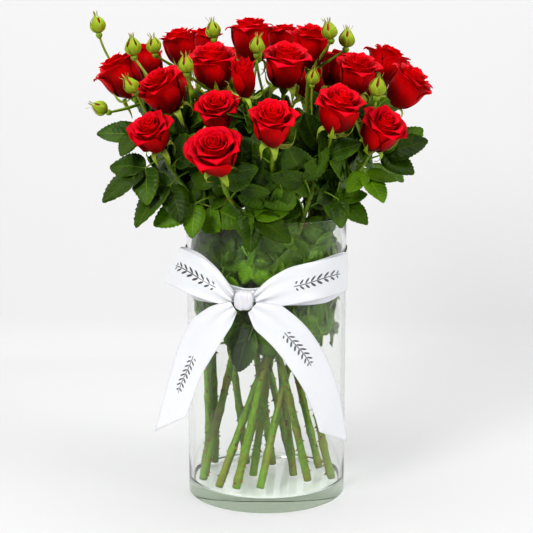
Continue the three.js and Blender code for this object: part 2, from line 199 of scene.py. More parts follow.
# %% [markdown]
# ## Measuring the heads
# A CAD head is a turned goblet. Its two poles are the only points where twelve triangles meet, and the
# ring next to the lower pole is the smaller one. That gives the head's foot, its axis and its size.

# %% Measure the flower heads
HEAD_SIDES = 12


def poles(bm, triangles):
    return [v for v in bm.verts if len(v.link_faces) == triangles]


def ring_size(vert):
    return sum(e.calc_length() for e in vert.link_edges) / len(vert.link_edges)


def head_of(node):
    bm = welded(node)
    foot, top = sorted(poles(bm, HEAD_SIDES), key=ring_size)
    axis = (top.co - foot.co).normalized()
    length = (top.co - foot.co).length
    radius = max((v.co - foot.co).cross(axis).length for v in bm.verts)
    head = {"node": node, "foot": foot.co.copy(), "axis": axis, "length": length, "radius": radius}
    head["middle"] = head["foot"] + axis * length / 2
    bm.free()
    return head


HEADS = [head_of(n) for n in named("bloom")]
print(len(HEADS), "heads, the largest", round(max(h["radius"] for h in HEADS) * 2000), "mm across")

# %% [markdown]
# ## Following the stems
# A cut stem is a bent tube with side shoots. Its middle line is found by walking: a plane across the
# tube cuts some edges, the middle of those cuts is the next point, and the walk goes on from there.
# The main line is walked from its flower down to the floor of the vase. Side shoots are walked from
# their flower or bud down to where they meet the main line.

# %% Walk down every stem
STEP = 7 * MM
MOST_STEPS = 80
HEADING_KEPT = 0.4
DENSE = 160
MEETING = 3 * MM
VASE_RADIUS, _, VASE_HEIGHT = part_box("vase")[1]
VASE_POINTS = [v.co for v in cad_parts["vase"].data.vertices]
INNER_RADIUS = min(p.xy.length for p in VASE_POINTS if p.z > VASE_HEIGHT / 2)
FLOOR = max(p.z for p in VASE_POINTS if p.xy.length < MM)
BUD_SIDES = 10
BUD_TIP_SHARE = 0.32


def middle_of_cut(edges, point, direction, reach):
    hits = []
    for a, b in edges:
        ahead, behind = (a - point).dot(direction), (b - point).dot(direction)
        if (ahead > 0) != (behind > 0):
            hit = a.lerp(b, ahead / (ahead - behind))
            if (hit - point).length < reach:
                hits.append(hit)
    return sum(hits, Vector()) / len(hits) if len(hits) > 3 else None


def walk(edges, start, direction, reach, arrived):
    points = [start]
    while len(points) < MOST_STEPS and not arrived(points[-1]):
        found = middle_of_cut(edges, points[-1] + direction * STEP, direction, reach)
        if found is None:
            break
        direction = (HEADING_KEPT * direction + (found - points[-1]).normalized()).normalized()
        points.append(found)
    return points


def calmed(points):
    """The same line with the small steps taken out of it."""
    for _ in range(3):
        inner = [(a + 2 * b + c) / 4 for a, b, c in zip(points, points[1:], points[2:])]
        points = [points[0], *inner, points[-1]]
    return points


def nearest_on(line, point):
    return min(line, key=lambda q: (q - point).length)


def side_line(edges, main, start, direction, reach):
    """A side shoot's line, from its top to the middle of the main stem."""
    dense = curve_through(main, DENSE)
    line = walk(edges, start, direction, reach, lambda p: (nearest_on(dense, p) - p).length < MEETING)
    return calmed([*line, nearest_on(dense, line[-1] - UP * 3 * MM)])


def is_tip(vert):
    """Whether a pole is the even, pointed end of a turned shape."""
    lengths = [e.calc_length() for e in vert.link_edges]
    return min(lengths) > 2.5 * MM and max(lengths) < 1.04 * min(lengths)


def buds_of(bm):
    """Each closed bud's foot, axis and length. Its tip is a pole of ten triangles."""
    found = []
    for tip in filter(is_tip, poles(bm, BUD_SIDES)):
        ring = sum((e.other_vert(tip).co for e in tip.link_edges), Vector()) / len(tip.link_edges)
        axis = (tip.co - ring).normalized()
        length = (tip.co - ring).length / BUD_TIP_SHARE
        found.append({"foot": tip.co - axis * length, "axis": axis, "length": length})
    return found


def stem_of(node):
    bm = welded(node)
    edges = [(e.verts[0].co.copy(), e.verts[1].co.copy()) for e in bm.edges]
    heads = [h for h in HEADS if h["node"][6:8] == node[5:7]]
    foot, axis = heads[0]["foot"], heads[0]["axis"]
    main = walk(edges, foot - axis * 2 * MM, -axis, 6 * MM, lambda p: p.z < FLOOR + 9 * MM)
    fall = (main[-1] - main[-2]).normalized()
    main.append(main[-1] + fall * (main[-1].z - FLOOR - 1.8 * MM) / -fall.z)
    main = calmed(main)
    buds = buds_of(bm)
    bm.free()

    def shoot(top, inset, reach):
        return side_line(edges, main, top["foot"] - top["axis"] * inset, -top["axis"], reach)

    return {
        "node": node,
        "main": main,
        "heads": heads,
        "side_heads": [shoot(h, 2 * MM, 3.4 * MM) for h in heads[1:]],
        "buds": buds,
        "side_buds": [shoot(b, MM, 2.6 * MM) for b in buds],
    }


STEMS = [stem_of(n) for n in named("stem")]
print(len(STEMS), "stems,", sum(len(s["buds"]) for s in STEMS), "buds")
for stem in STEMS:
    print(stem["node"], len(stem["main"]), [len(s) for s in stem["side_heads"] + stem["side_buds"]])

# %% [markdown]
# ## Materials
# Most of what makes a flower look alive is in small changes of colour. One node group makes soft
# blotches at two scales from object coordinates, and every plant material uses it with its own values.
# A second group draws a leaf's veins in the leaflet's own UV square, where the midrib is the line
# across the middle.

# %% Node helpers
def group_of(name, inputs, outputs):
    """A new group of float sockets, with what comes into it and what goes out."""
    group = bpy.data.node_groups.new(name, "ShaderNodeTree")
    for label, value in inputs:
        socket = group.interface.new_socket(label, in_out="INPUT", socket_type="NodeSocketFloat")
        socket.default_value = value
    for label in outputs:
        group.interface.new_socket(label, in_out="OUTPUT", socket_type="NodeSocketFloat")
    return group, group.nodes.new("NodeGroupInput").outputs, group.nodes.new("NodeGroupOutput").inputs


def node(tree, kind, links=(), **settings):
    """Adds a node with its settings, then links or sets its inputs from (input, source) pairs."""
    made = tree.nodes.new("ShaderNode" + kind)
    for key, value in settings.items():
        setattr(made, key, value)
    for socket, source in dict(links).items():
        if isinstance(source, bpy.types.NodeSocket):
            tree.links.new(source, made.inputs[socket])
        else:
            made.inputs[socket].default_value = source
    return made


def maths(tree, operation, *sources):
    return node(tree, "Math", dict(enumerate(sources)), operation=operation).outputs[0]


def times(tree, a, b):
    return maths(tree, "MULTIPLY", a, b)


def plus(tree, a, b):
    return maths(tree, "ADD", a, b)


def minus(tree, a, b):
    return maths(tree, "SUBTRACT", a, b)


def blend_colours(tree, factor, a, b, mode="MIX"):
    made = node(tree, "Mix", {0: factor, 6: a, 7: b}, data_type="RGBA", blend_type=mode)
    return made.outputs[2]


def band_pass(tree, value, low, high, out_low=0.0, out_high=1.0):
    links = {0: value, 1: low, 2: high, 3: out_low, 4: out_high}
    return node(tree, "MapRange", links, interpolation_type="SMOOTHSTEP").outputs[0]


def fade(tree, value, low, high):
    """1 below low, 0 above high, and a smooth S between."""
    return band_pass(tree, value, low, high, 1.0, 0.0)


def uv_of(tree):
    """The UV, and its two numbers."""
    uv = node(tree, "TexCoord").outputs["UV"]
    split = node(tree, "SeparateXYZ", {0: uv}).outputs
    return uv, split[0], split[1]


def principled(name, **sockets):
    """A new material with a Principled BSDF whose plain sockets are set by name."""
    made = bpy.data.materials.new(name)
    made.use_nodes = True
    tree = made.node_tree
    shader = tree.nodes["Principled BSDF"]
    for key, value in sockets.items():
        shader.inputs[key.replace("_", " ")].default_value = value
    return made, tree, shader


def painted(tree, shader, colour, height, strength, distance=0.0005):
    """Links a colour and a fine relief into a shader."""
    tree.links.new(colour, shader.inputs["Base Color"])
    bump = node(tree, "Bump", {"Height": height, "Strength": strength, "Distance": distance})
    tree.links.new(bump.outputs[0], shader.inputs["Normal"])


def mix_surfaces(tree, share, a, b, output="Material Output"):
    """Shows shader a where the share is 0 and shader b where it is 1."""
    both = node(tree, "MixShader", {0: share, 1: a.outputs[0], 2: b.outputs[0]})
    tree.links.new(both.outputs[0], tree.nodes[output].inputs["Surface"])


# %% Shared effects
blotches, into, out = group_of("blotches", [("Scale", 60.0), ("Detail", 3.0)], ["Mask", "Fine"])
place = node(blotches, "TexCoord").outputs["Object"]
broad = node(blotches, "TexNoise", {"Vector": place, "Scale": into[0], "Detail": into[1]}).outputs[0]
finer = times(blotches, into[0], 7.0)
small = node(blotches, "TexNoise", {"Vector": place, "Scale": finer, "Detail": 2.0}).outputs[0]
blotches.links.new(band_pass(blotches, broad, 0.35, 0.65), out[0])
blotches.links.new(small, out[1])

veins, into, out = group_of("veins", [("Pairs", 8.0), ("Slant", 3.2)], ["Veins", "Height", "Edge"])
uv, along, across = uv_of(veins)
wander = node(veins, "TexNoise", {"Vector": uv, "Scale": 5.0}).outputs[0]
off_midrib = maths(veins, "ABSOLUTE", minus(veins, across, 0.5))
row = minus(veins, times(veins, along, into[0]), times(veins, off_midrib, into[1]))
row = plus(veins, row, times(veins, wander, 0.5))
between = maths(veins, "PINGPONG", row, 0.5)
side_vein = fade(veins, between, 0.0, 0.09)
midrib = fade(veins, off_midrib, 0.008, 0.035)
net = node(veins, "TexVoronoi", {"Vector": uv, "Scale": 26.0}, feature="DISTANCE_TO_EDGE").outputs[0]
puffed = times(veins, band_pass(veins, net, 0.0, 0.12), 0.25)
swell = plus(veins, band_pass(veins, between, 0.0, 0.45), puffed)
veins.links.new(maths(veins, "MAXIMUM", times(veins, side_vein, 0.55), midrib), out[0])
veins.links.new(minus(veins, swell, times(veins, midrib, 1.2)), out[1])
veins.links.new(band_pass(veins, off_midrib, 0.44, 0.5), out[2])
print("groups:", [g.name for g in bpy.data.node_groups])


def blotched(tree, scale):
    """The blotches at one scale: a soft mask and a finer grain."""
    return node(tree, "Group", {"Scale": scale}, node_tree=blotches).outputs


# %% [markdown]
# ### Petals
# The face of a petal is scarlet with painted shade: it is darker low in the cup, down to a dark foot,
# and a little lighter towards the rim. Its back is a cooler crimson, a little darker low down, with a
# pale foot where it joins the flower. Fine ribs fan out along it. A little sheen gives the velvet that a
# rose petal has.

# %% Petal materials
def mix_range(tree, mask, low, high):
    return node(tree, "MapRange", {0: mask, 3: low, 4: high}).outputs[0]


def own_tone(tree, low, high):
    """A brightness that each petal or leaflet keeps for itself, stored on its points."""
    stored = node(tree, "Attribute", attribute_name="tone").outputs["Fac"]
    return mix_range(tree, stored, low, high)


def shaded(tree, colour, shade):
    """The colour made darker or lighter by one number."""
    grey = node(tree, "CombineColor", {0: shade, 1: shade, 2: shade})
    return blend_colours(tree, 1.0, colour, grey.outputs[0], "MULTIPLY")


def petal_material(name, streaks, cup_shade, body, rim, foot):
    made, tree, shader = principled(
        name, Roughness=0.52, Sheen_Weight=0.02, Sheen_Roughness=0.4, Sheen_Tint=(1.0, 0.12, 0.15, 1),
        Specular_IOR_Level=0.1, Specular_Tint=(1.0, 0.55, 0.6, 1), Subsurface_Weight=0.1,
        Subsurface_Scale=0.003, Subsurface_Radius=(1.0, 0.05, 0.05),
    )
    _, across, up = uv_of(tree)
    ribs_at = node(tree, "CombineXYZ", {0: times(tree, across, 46.0), 1: times(tree, up, 2.5)})
    ribs = node(tree, "TexNoise", {"Vector": ribs_at.outputs[0], "Scale": 1.0, "Detail": 3.0}).outputs[0]
    spots = blotched(tree, 55.0)
    # Painted shade and light: the colour runs from a dark shade low in the cup, through the body, to a
    # lighter rim; the foot colour blends in at the very bottom.
    colour = blend_colours(tree, band_pass(tree, up, 0.3, 0.72), cup_shade, body)
    colour = blend_colours(tree, band_pass(tree, up, 0.75, 1.0), colour, rim)
    colour = blend_colours(tree, fade(tree, up, 0.02, 0.16), colour, foot)
    shade = band_pass(tree, ribs, 0.3, 0.75, 1 - streaks, 1 + 0.6 * streaks)
    shade = times(tree, shade, mix_range(tree, spots[0], 0.86, 1.06))
    shade = times(tree, shade, own_tone(tree, 0.84, 1.08))
    grain = plus(tree, ribs, times(tree, spots[1], 0.5))
    painted(tree, shader, shaded(tree, colour, shade), grain, 0.2)
    return made


# The face's first colour is painted shade for low in the cup, and its foot is dark too. On the back the
# change from foot to rim is small.
PETAL_FACE = petal_material(
    "petal_face", 0.14, (0.22, 0.0, 0.0005, 1), (0.72, 0.0, 0.003, 1), (0.79, 0.0002, 0.006, 1),
    (0.3, 0, 0, 1),
)
PETAL_BACK = petal_material(
    "petal_back", 0.08, (0.70, 0.0, 0.016, 1), (0.78, 0.0, 0.027, 1), (0.74, 0.0, 0.010, 1),
    (0.6, 0.1, 0.06, 1),
)


# %% [markdown]
# ### Leaves, stems and sepals
# The upper side of a rose leaf is dark green and softly glossy, and its underside is paler and dull, so
# each leaflet gets two materials. Stems are green, lighter from around the vase's lip upwards, with a
# yellow-brown flush here and there.
# Sepals are pale and downy with dry brown tips.

# %% Green materials
def leaf_material(name, dark, light, vein, roughness, relief):
    made, tree, shader = principled(
        name, Roughness=roughness, Specular_IOR_Level=0.2, Subsurface_Weight=0.05,
        Subsurface_Scale=0.002, Subsurface_Radius=(0.4, 1.0, 0.1),
    )
    lines = node(tree, "Group", node_tree=veins).outputs
    spots = blotched(tree, 28.0)
    colour = blend_colours(tree, spots[0], dark, light)
    colour = blend_colours(tree, times(tree, spots[1], 0.35), colour, light)
    colour = blend_colours(tree, times(tree, lines["Edge"], 0.3), colour, vein)
    colour = blend_colours(tree, times(tree, lines["Veins"], 0.5), colour, vein)
    colour = shaded(tree, colour, own_tone(tree, 0.45, 1.42))
    painted(tree, shader, colour, times(tree, lines["Height"], relief), 0.35)
    return made


LEAF_TOP = leaf_material(
    "leaf_top", (0.015, 0.052, 0.0008, 1), (0.078, 0.165, 0.002, 1), (0.19, 0.29, 0.012, 1), 0.38, 1.0
)
LEAF_UNDER = leaf_material(
    "leaf_under", (0.07, 0.14, 0.012, 1), (0.13, 0.22, 0.022, 1), (0.21, 0.31, 0.05, 1), 0.6, -1.0
)


def stem_material(name, green, higher_green, flush, flushed, roughness=0.42):
    """A stem that is a lighter green higher up, from around the vase's lip, with a flush of another colour
    in places.
    """
    made, tree, shader = principled(name, Roughness=roughness, Specular_IOR_Level=0.35)
    spots = blotched(tree, 34.0)
    place = node(tree, "TexCoord").outputs["Object"]
    height = node(tree, "SeparateXYZ", {0: place}).outputs[2]
    # Lighter green from a height of 0.24 m to 0.36 m upwards, around the vase's lip.
    colour = blend_colours(tree, band_pass(tree, height, 0.24, 0.36), green, higher_green)
    colour = shaded(tree, colour, band_pass(tree, spots[1], 0.3, 0.7, 0.72, 1.08))
    mask = times(tree, band_pass(tree, spots[0], 0.5, 1.0), flushed)
    painted(tree, shader, blend_colours(tree, mask, colour, flush), spots[1], 0.3)
    return made


STEM_GREEN = stem_material(
    "stem_green", (0.115, 0.22, 0.003, 1), (0.28, 0.44, 0.012, 1), (0.20, 0.12, 0.02, 1), 0.4
)
SHOOT_GREEN = stem_material(
    "shoot_green", (0.12, 0.24, 0.015, 1), (0.24, 0.40, 0.02, 1), (0.26, 0.28, 0.05, 1), 0.4
)
PRICKLE = stem_material("prickle", (0.24, 0.06, 0.02, 1), (0.26, 0.08, 0.03, 1), (0.12, 0.03, 0.01, 1), 0.8)
CUT_END = stem_material("cut_end", (0.5, 0.42, 0.2, 1), (0.5, 0.42, 0.2, 1), (0.3, 0.2, 0.08, 1), 0.8, 0.75)


def sepal_material(name, foot, body, tip):
    made, tree, shader = principled(name, Roughness=0.6, Specular_IOR_Level=0.3, Subsurface_Weight=0.08)
    along = uv_of(tree)[1]
    spots = blotched(tree, 90.0)
    colour = blend_colours(tree, band_pass(tree, along, 0.05, 0.4), foot, body)
    colour = blend_colours(tree, band_pass(tree, along, 0.72, 0.98), colour, tip)
    dull = tuple(0.6 * c for c in body[:3]) + (1,)
    colour = blend_colours(tree, times(tree, spots[0], 0.35), colour, dull)
    painted(tree, shader, colour, spots[1], 0.4, 0.0004)
    return made


SEPAL_INNER = sepal_material(
    "sepal_inner", (0.56, 0.68, 0.13, 1), (0.42, 0.56, 0.05, 1), (0.30, 0.20, 0.05, 1)
)
SEPAL_OUTER = sepal_material(
    "sepal_outer", (0.42, 0.54, 0.03, 1), (0.34, 0.47, 0.015, 1), (0.30, 0.16, 0.03, 1)
)
print(len(bpy.data.materials), "plant materials")

# %% [markdown]
# ## Thin sheets
# Petals, sepals, leaflets and ribbon are sheets. Each is drawn as a flat grid of squares and bent into
# place by a function of the two directions across it. The finished piece gives it its thickness.

# %% A bent grid
def grid(bm, columns, rows, bend):
    """A grid of UV squares whose points are placed by bend(u, t): u from -1 to 1, t from 0 to 1."""
    made = bmesh.ops.create_grid(bm, x_segments=columns, y_segments=rows, size=0.5, calc_uvs=True)
    tone = bm.verts.layers.float.get("tone")
    shade = random.random()
    for v in made["verts"]:
        v.co = bend(2 * v.co.x, v.co.y + 0.5)
        if tone:
            v[tone] = shade


def blank(tone=False):
    """An empty bmesh for sheets, with their UVs and, if asked for, a tone for each sheet."""
    bm = bmesh.new()
    bm.loops.layers.uv.verify()
    if tone:
        bm.verts.layers.float.new("tone")
    return bm


# %% [markdown]
# ## Petals
# A rose is a spiral of cups. Petal number i stands a golden angle round from the last one, on a cup a
# little wider. The inner ones wrap far round and close in over the middle. The outer ones are
# narrower, stand open, and roll back along their upper edge, more at the corners than at the middle,
# which leaves the pointed tip that a rose petal shows.

# %% One petal
GOLDEN_ANGLE = math.radians(137.5)
ROLL_STEPS = 6


def cup_profile(t, radius, height, close, hinge, roll):
    """Distance from the axis and height, at share t along a petal that rolls back past its hinge."""
    body = min(t, hinge) / hinge
    r = radius * (1 - (1 - body) ** 2.6) ** 0.8
    r -= radius * close * eased(0.4, 1.0, body) ** 1.5
    z = height * hinge * (0.10 * body + 0.90 * body**1.15)
    if t > hinge:
        share = (t - hinge) / (1 - hinge)
        run = height * (t - hinge) / ROLL_STEPS
        for k in range(ROLL_STEPS):
            turn = roll * (share * (k + 0.5) / ROLL_STEPS) ** 1.5 - 0.8 * close
            r += sin(turn) * run
            z += cos(turn) * run
    return r, z


def petal_bend(size, rank, azimuth, openness):
    """The function that bends a grid into petal number rank, from 0 at the heart to 1 outermost."""
    full, tall = size["radius"], size["length"]
    radius = full * (0.075 + 0.765 * rank**0.95) * mix(0.86, 1.0, openness)
    height = tall * (0.97 + 0.05 * sin(pi * rank) - 0.11 * rank**3)
    wrap = math.radians(mix(122, 68, eased(0.1, 0.8, rank)) + wobble(6))
    close = mix(0.42, 0.02, eased(0.0, 0.85, rank)) * mix(1.3, 1.0, openness)
    hinge = mix(0.86, 0.72, eased(0.2, 0.9, rank))
    roll = mix(0.9, 2.9, eased(0.15, 0.95, rank)) * openness * random.uniform(0.75, 1.3)
    tuck = 0.05 * full
    point = 0.012 + 0.14 * rank**2
    droop = 0.10 + 0.14 * rank
    flare = full * rank**3 * openness * random.uniform(-0.08, 0.15)
    lean = wobble(0.06)
    seed = Vector((azimuth * 3.1, rank * 7.7, full * 900))

    def bend(u, t):
        edge = abs(u)
        outline = 1 - droop * edge**2.4 - 0.12 * edge**9 + point * (exp(-((u / 0.15) ** 2)) - 0.35)
        along = (1 - (1 - t) ** 1.3) * outline
        curl = roll * (0.72 + 0.42 * edge**1.5) * (1 + 0.25 * noise.noise(seed + Vector((u * 1.6, 9, 0))))
        r, z = cup_profile(along, radius, height, close, hinge, curl)
        width = 0.36 + 0.64 * eased(0.0, 0.55, along)
        angle = azimuth + wrap * u * width
        r += tuck * u * eased(0.05, 0.5, along)
        r += flare * eased(0.45, 1.0, along)
        r += 0.07 * full * rank * openness * eased(0.75, 1.0, edge) * eased(0.4, 0.9, along)
        wave = noise.noise(seed + Vector((u * 1.2, along * 1.7, 0)))
        r += full * (0.012 + 0.08 * rank**1.5) * wave * eased(0.2, 0.9, along)
        z += tall * (0.02 * noise.noise(seed + Vector((u * 1.5, 5, along))) + lean * u)
        return polar(r, angle, z + tall * 0.02)

    return bend


# %% Whole flower heads
PETALS = 24
PETAL_THICKNESS = 0.35 * MM
PETAL_GRID = (12, 14)


def bloom(head):
    """All the petals of one head, from its heart outwards."""
    slim = head["length"] / (2 * head["radius"])
    openness = mix(1.0, 0.25, eased(0.98, 1.25, slim)) * random.uniform(0.86, 1.0)
    count = PETALS if openness > 0.5 else PETALS - 8
    bm = blank(tone=True)
    start = random.uniform(0, tau)
    for i in range(count):
        rank = (i / (count - 1)) ** 0.85
        azimuth = start + GOLDEN_ANGLE * i + wobble(0.16)
        grid(bm, *PETAL_GRID, petal_bend(head, rank, azimuth, openness))
    bmesh.ops.transform(bm, matrix=axis_frame(head["foot"], head["axis"]), verts=bm.verts)
    looks = [PETAL_FACE, PETAL_BACK]
    return finished(head["node"] + "_petals", bm, looks, "petal", head["node"], thickness=PETAL_THICKNESS)


for head in HEADS:
    bloom(head)
print(len(HEADS), "heads of up to", PETALS, "petals")

# %% [markdown]
# ## Sepals
# Below the petals five sepals stand round the head: broad at the foot, drawn out into a thin tip. On
# open heads most of them hang down and curl. A few still reach up along the petals like thin claws.

# %% Sepals
HANGING_SHARE = 0.66
CALYX_RADIUS = 2.6 * MM
PATH_STEPS = 40
SEPALS = 5
SEPAL_GRID = (14, 4)
SEPAL_THICKNESS = 0.3 * MM


def sepal_bend(width, azimuth, path, twist):
    """Bends a grid into a sepal. path(t) gives how far out and up its middle line has gone."""

    def bend(v, s):
        u, t = 2 * s - 1, (v + 1) / 2
        out, up = path(t)
        body = (0.55 + 0.45 * eased(0.0, 0.22, t)) * (1 - t) ** 1.1 + 0.04
        half = width * body
        keel = 0.35 * half * u * u
        side = half * u
        angle = azimuth + twist * t
        outward = polar(1, angle)
        across = Vector((-outward.y, outward.x, 0))
        return outward * (CALYX_RADIUS + out + keel * 0.6) + across * side + UP * (up + keel * 0.5)

    return bend


def swept_path(length, turn_at):
    """A middle line, as its points (out, up) by share along it, summed from its turning angle."""
    line = [(0.0, 0.0)]
    for k in range(PATH_STEPS):
        angle = turn_at(k / PATH_STEPS)
        out, up = line[-1]
        line.append((out + cos(angle) * length / PATH_STEPS, up + sin(angle) * length / PATH_STEPS))
    return lambda t: line[round(t * PATH_STEPS)]


def hanging(curl):
    """Out, over and down, with a curl at the end."""
    return lambda t: mix(0.45, -1.6, eased(0.05, 0.62, t)) - curl * eased(0.55, 1.0, t)


def reaching(curl):
    """Out round the swell of the head, then up beside it, with a tip that leans away."""
    return lambda t: mix(-0.25, 1.45, eased(0.0, 0.75, t)) - curl * eased(0.7, 1.0, t)


def calyx(head):
    bm = blank()
    start = random.uniform(0, tau)
    for i in range(SEPALS):
        azimuth = start + tau * i / SEPALS + wobble(0.2)
        length = head["length"] * random.uniform(0.52, 0.78)
        width = head["radius"] * random.uniform(0.19, 0.25)
        if random.random() < HANGING_SHARE:
            path = swept_path(length, hanging(random.uniform(-0.6, 1.5)))
        else:
            path = swept_path(length * 1.05, reaching(random.uniform(-0.3, 1.3)))
        grid(bm, *SEPAL_GRID, sepal_bend(width, azimuth, path, wobble(0.3)))
    place = axis_frame(head["foot"] + head["axis"] * 2 * MM, head["axis"])
    bmesh.ops.transform(bm, matrix=place, verts=bm.verts)
    looks = [SEPAL_INNER, SEPAL_OUTER]
    return finished(head["node"] + "_sepals", bm, looks, "stem", thickness=SEPAL_THICKNESS)


for head in HEADS:
    calyx(head)
print(len(HEADS), "calyxes")

# %% [markdown]
# ## Stems
# A stem is a ring swept along its line. It is a little thicker at each old leaf joint, carries small
# reddish prickles, and ends in a cut. Side shoots are thinner and a fresher green.

# %% Sweep a ring along a line
def tube(bm, points, radii, sides, slot, cap_slot=None):
    """A round tube made by extruding a ring from point to point."""
    ring = bmesh.ops.create_circle(bm, segments=sides, radius=1.0)["verts"]
    edges = list({e for v in ring for e in v.link_edges})
    ahead = [(b - a).normalized() for a, b in zip(points, points[1:])]
    ahead = [ahead[0], *[(a + b).normalized() for a, b in zip(ahead, ahead[1:])], ahead[-1]]
    last = Matrix.Identity(4)
    first = edges
    turn = UP.rotation_difference(ahead[0])
    for k, point in enumerate(points):
        if k:
            turn = ahead[k - 1].rotation_difference(ahead[k]) @ turn
            grown = bmesh.ops.extrude_edge_only(bm, edges=edges)["geom"]
            ring = [g for g in grown if isinstance(g, bmesh.types.BMVert)]
            edges = [g for g in grown if isinstance(g, bmesh.types.BMEdge) and set(g.verts) <= set(ring)]
            for g in grown:
                if isinstance(g, bmesh.types.BMFace):
                    g.material_index = slot
        here = Matrix.Translation(point) @ turn.to_matrix().to_4x4() @ Matrix.Scale(radii[k], 4)
        bmesh.ops.transform(bm, matrix=here @ last.inverted(), verts=ring)
        last = here
    for loop, look in ((first, slot), (edges, slot if cap_slot is None else cap_slot)):
        for face in bmesh.ops.edgeloop_fill(bm, edges=loop)["faces"]:
            face.material_index = look


def prickle(bm, foot, outward, size):
    """A small thorn: a cone that leans down a little."""
    lean = (outward - UP * 0.45).normalized()
    place = axis_frame(foot + lean * size * 0.4, lean)
    verts = bmesh.ops.create_cone(
        bm, cap_ends=True, segments=5, radius1=0.42 * size, radius2=0.03 * size, depth=size, matrix=place
    )["verts"]
    for face in {f for v in verts for f in v.link_faces}:
        face.material_index = THORN


def connected(start):
    """Every vertex that can be reached along edges from start."""
    reached, edge_of = {start}, [start]
    while edge_of:
        found = {e.other_vert(v) for v in edge_of for e in v.link_edges} - reached
        reached |= found
        edge_of = list(found)
    return reached


def turned(bm, profile, radius, length, place, slot):
    """A closed shape turned about Z from (radius, height) shares, then moved to its place."""
    new = connected(spun(bm, [(r * radius, z * length) for r, z in profile], 14)[1])
    bmesh.ops.remove_doubles(bm, verts=list(new), dist=0.01 * MM)
    new = [v for v in new if v.is_valid]
    for face in {f for v in new for f in v.link_faces}:
        face.material_index = slot
    bmesh.ops.transform(bm, matrix=place, verts=new)


HIP = [
    (0, -1.02), (0.42, -1.0), (0.72, -0.72), (0.98, -0.40), (1.0, -0.12), (0.86, 0.1), (0.4, 0.2), (0, 0.2)
]
CORE = [(0, 0.08), (0.18, 0.14), (0.28, 0.3), (0.28, 0.42), (0.2, 0.58), (0.1, 0.72), (0, 0.78)]
FOOT_RADIUS = 3.9 * MM
NECK_RADIUS = 1.9 * MM
STEM_LOOKS = [STEM_GREEN, SHOOT_GREEN, PRICKLE, CUT_END, PETAL_BACK]
MAIN, SHOOT, THORN, CUT, RED = range(len(STEM_LOOKS))


def jointed(points, thin, thick, joints):
    """Radii from thin at the top to thick at the foot, with a swelling at each joint."""
    count = len(points)
    return [
        mix(thin, thick, k / (count - 1)) * (1 + sum(0.2 * exp(-((k - j) ** 2) / 1.2) for j in joints))
        for k in range(count)
    ]


def grow_stem(stem):
    bm = bmesh.new()
    points = curve_through(stem["main"], 2 * len(stem["main"]))
    joints = list(range(random.randint(6, 9), len(points) - 3, 9))
    radii = jointed(points, NECK_RADIUS, FOOT_RADIUS, joints)
    tube(bm, points, radii, 10, MAIN, CUT)
    for kind, thin, thick in (("side_heads", 1.6, 1.7), ("side_buds", 1.05, 1.35)):
        for line in stem[kind]:
            fine = curve_through(line, max(6, 2 * len(line)))
            tube(bm, fine, jointed(fine, thin * MM, thick * MM, [len(fine) // 2]), 8, SHOOT)
    for head in stem["heads"]:
        place = axis_frame(head["foot"] + head["axis"] * 2 * MM, head["axis"])
        turned(bm, HIP, 4.2 * MM, 6.8 * MM, place, SHOOT)
    for bud in stem["buds"]:
        place = axis_frame(bud["foot"], bud["axis"])
        turned(bm, CORE, bud["length"], bud["length"], place, RED)
        turned(bm, HIP, 0.16 * bud["length"], 0.22 * bud["length"], place, SHOOT)
    for k in range(8, len(points) - 2):
        for _ in range(random.choice((0, 0, 1, 1, 2))):
            angle = random.uniform(0, tau)
            ahead = (points[k + 1] - points[k]).normalized()
            outward = (Matrix.Rotation(angle, 3, ahead) @ ahead.orthogonal()).normalized()
            size = random.uniform(1.5, 3.2) * MM
            prickle(bm, points[k] + outward * radii[k] * 0.93, outward, size)
    bmesh.ops.recalc_face_normals(bm, faces=bm.faces)
    return finished(stem["node"] + "_growth", bm, STEM_LOOKS, "stem", stem["node"])


for stem in STEMS:
    grow_stem(stem)
print("stems and side shoots grown")

# %% [markdown]
# ## Buds
# A closed bud is wrapped by five green sepals that meet above it in a loose point. A little red
# shows between them.

# %% Buds
BUD_GRID = (14, 5)
BUD_THICKNESS = 0.25 * MM


def bud_sepal(length, azimuth, splay):
    """A sepal that hugs the bud and ends in a tip that stands off a little."""

    def bend(u, t):
        side, along = t * 2 - 1, (u + 1) / 2
        swell = sin(pi * min(1.0, along / 0.78) ** 0.85) ** 0.75 if along < 0.78 else 0.0
        r = length * (0.30 * swell + 0.055) + splay * length * eased(0.55, 1.0, along) ** 1.5
        half = 0.86 * (1 - eased(0.2, 0.75, along)) + 0.85 * eased(0.45, 0.7, along) * (1 - along) ** 0.8
        angle = azimuth + half * side + 0.15 * along
        r += 0.04 * length * (side + 0.6 * side * side) * (1 - along)
        return polar(r, angle, length * mix(0.04, 1.06, along))

    return bend


def grow_bud(name, bud):
    bm = blank()
    start = random.uniform(0, tau)
    for i in range(SEPALS):
        grid(bm, *BUD_GRID, bud_sepal(bud["length"], start + tau * i / SEPALS, random.uniform(0.02, 0.28)))
    bmesh.ops.reverse_faces(bm, faces=bm.faces)
    bmesh.ops.transform(bm, matrix=axis_frame(bud["foot"], bud["axis"]), verts=bm.verts)
    return finished(name, bm, [SEPAL_OUTER, SEPAL_INNER], "stem", thickness=BUD_THICKNESS)


for stem in STEMS:
    for i, bud in enumerate(stem["buds"]):
        grow_bud(stem["node"] + "_bud_" + "abc"[i], bud)
print("buds grown")

# %% [markdown]
# ## Leaves
# A rose leaf is compound: a stalk with an end leaflet and pairs of side leaflets. Each leaflet is a
# grid whose outer rows step in and out, which makes the saw teeth of its margin. It folds a little
# along its midrib and arches towards its tip.
#
# Leaves meet other things: inside the vase they press against the glass, and between the flowers they
# bend round the heads. So every finished leaf is pushed back inside the glass and out of every head.

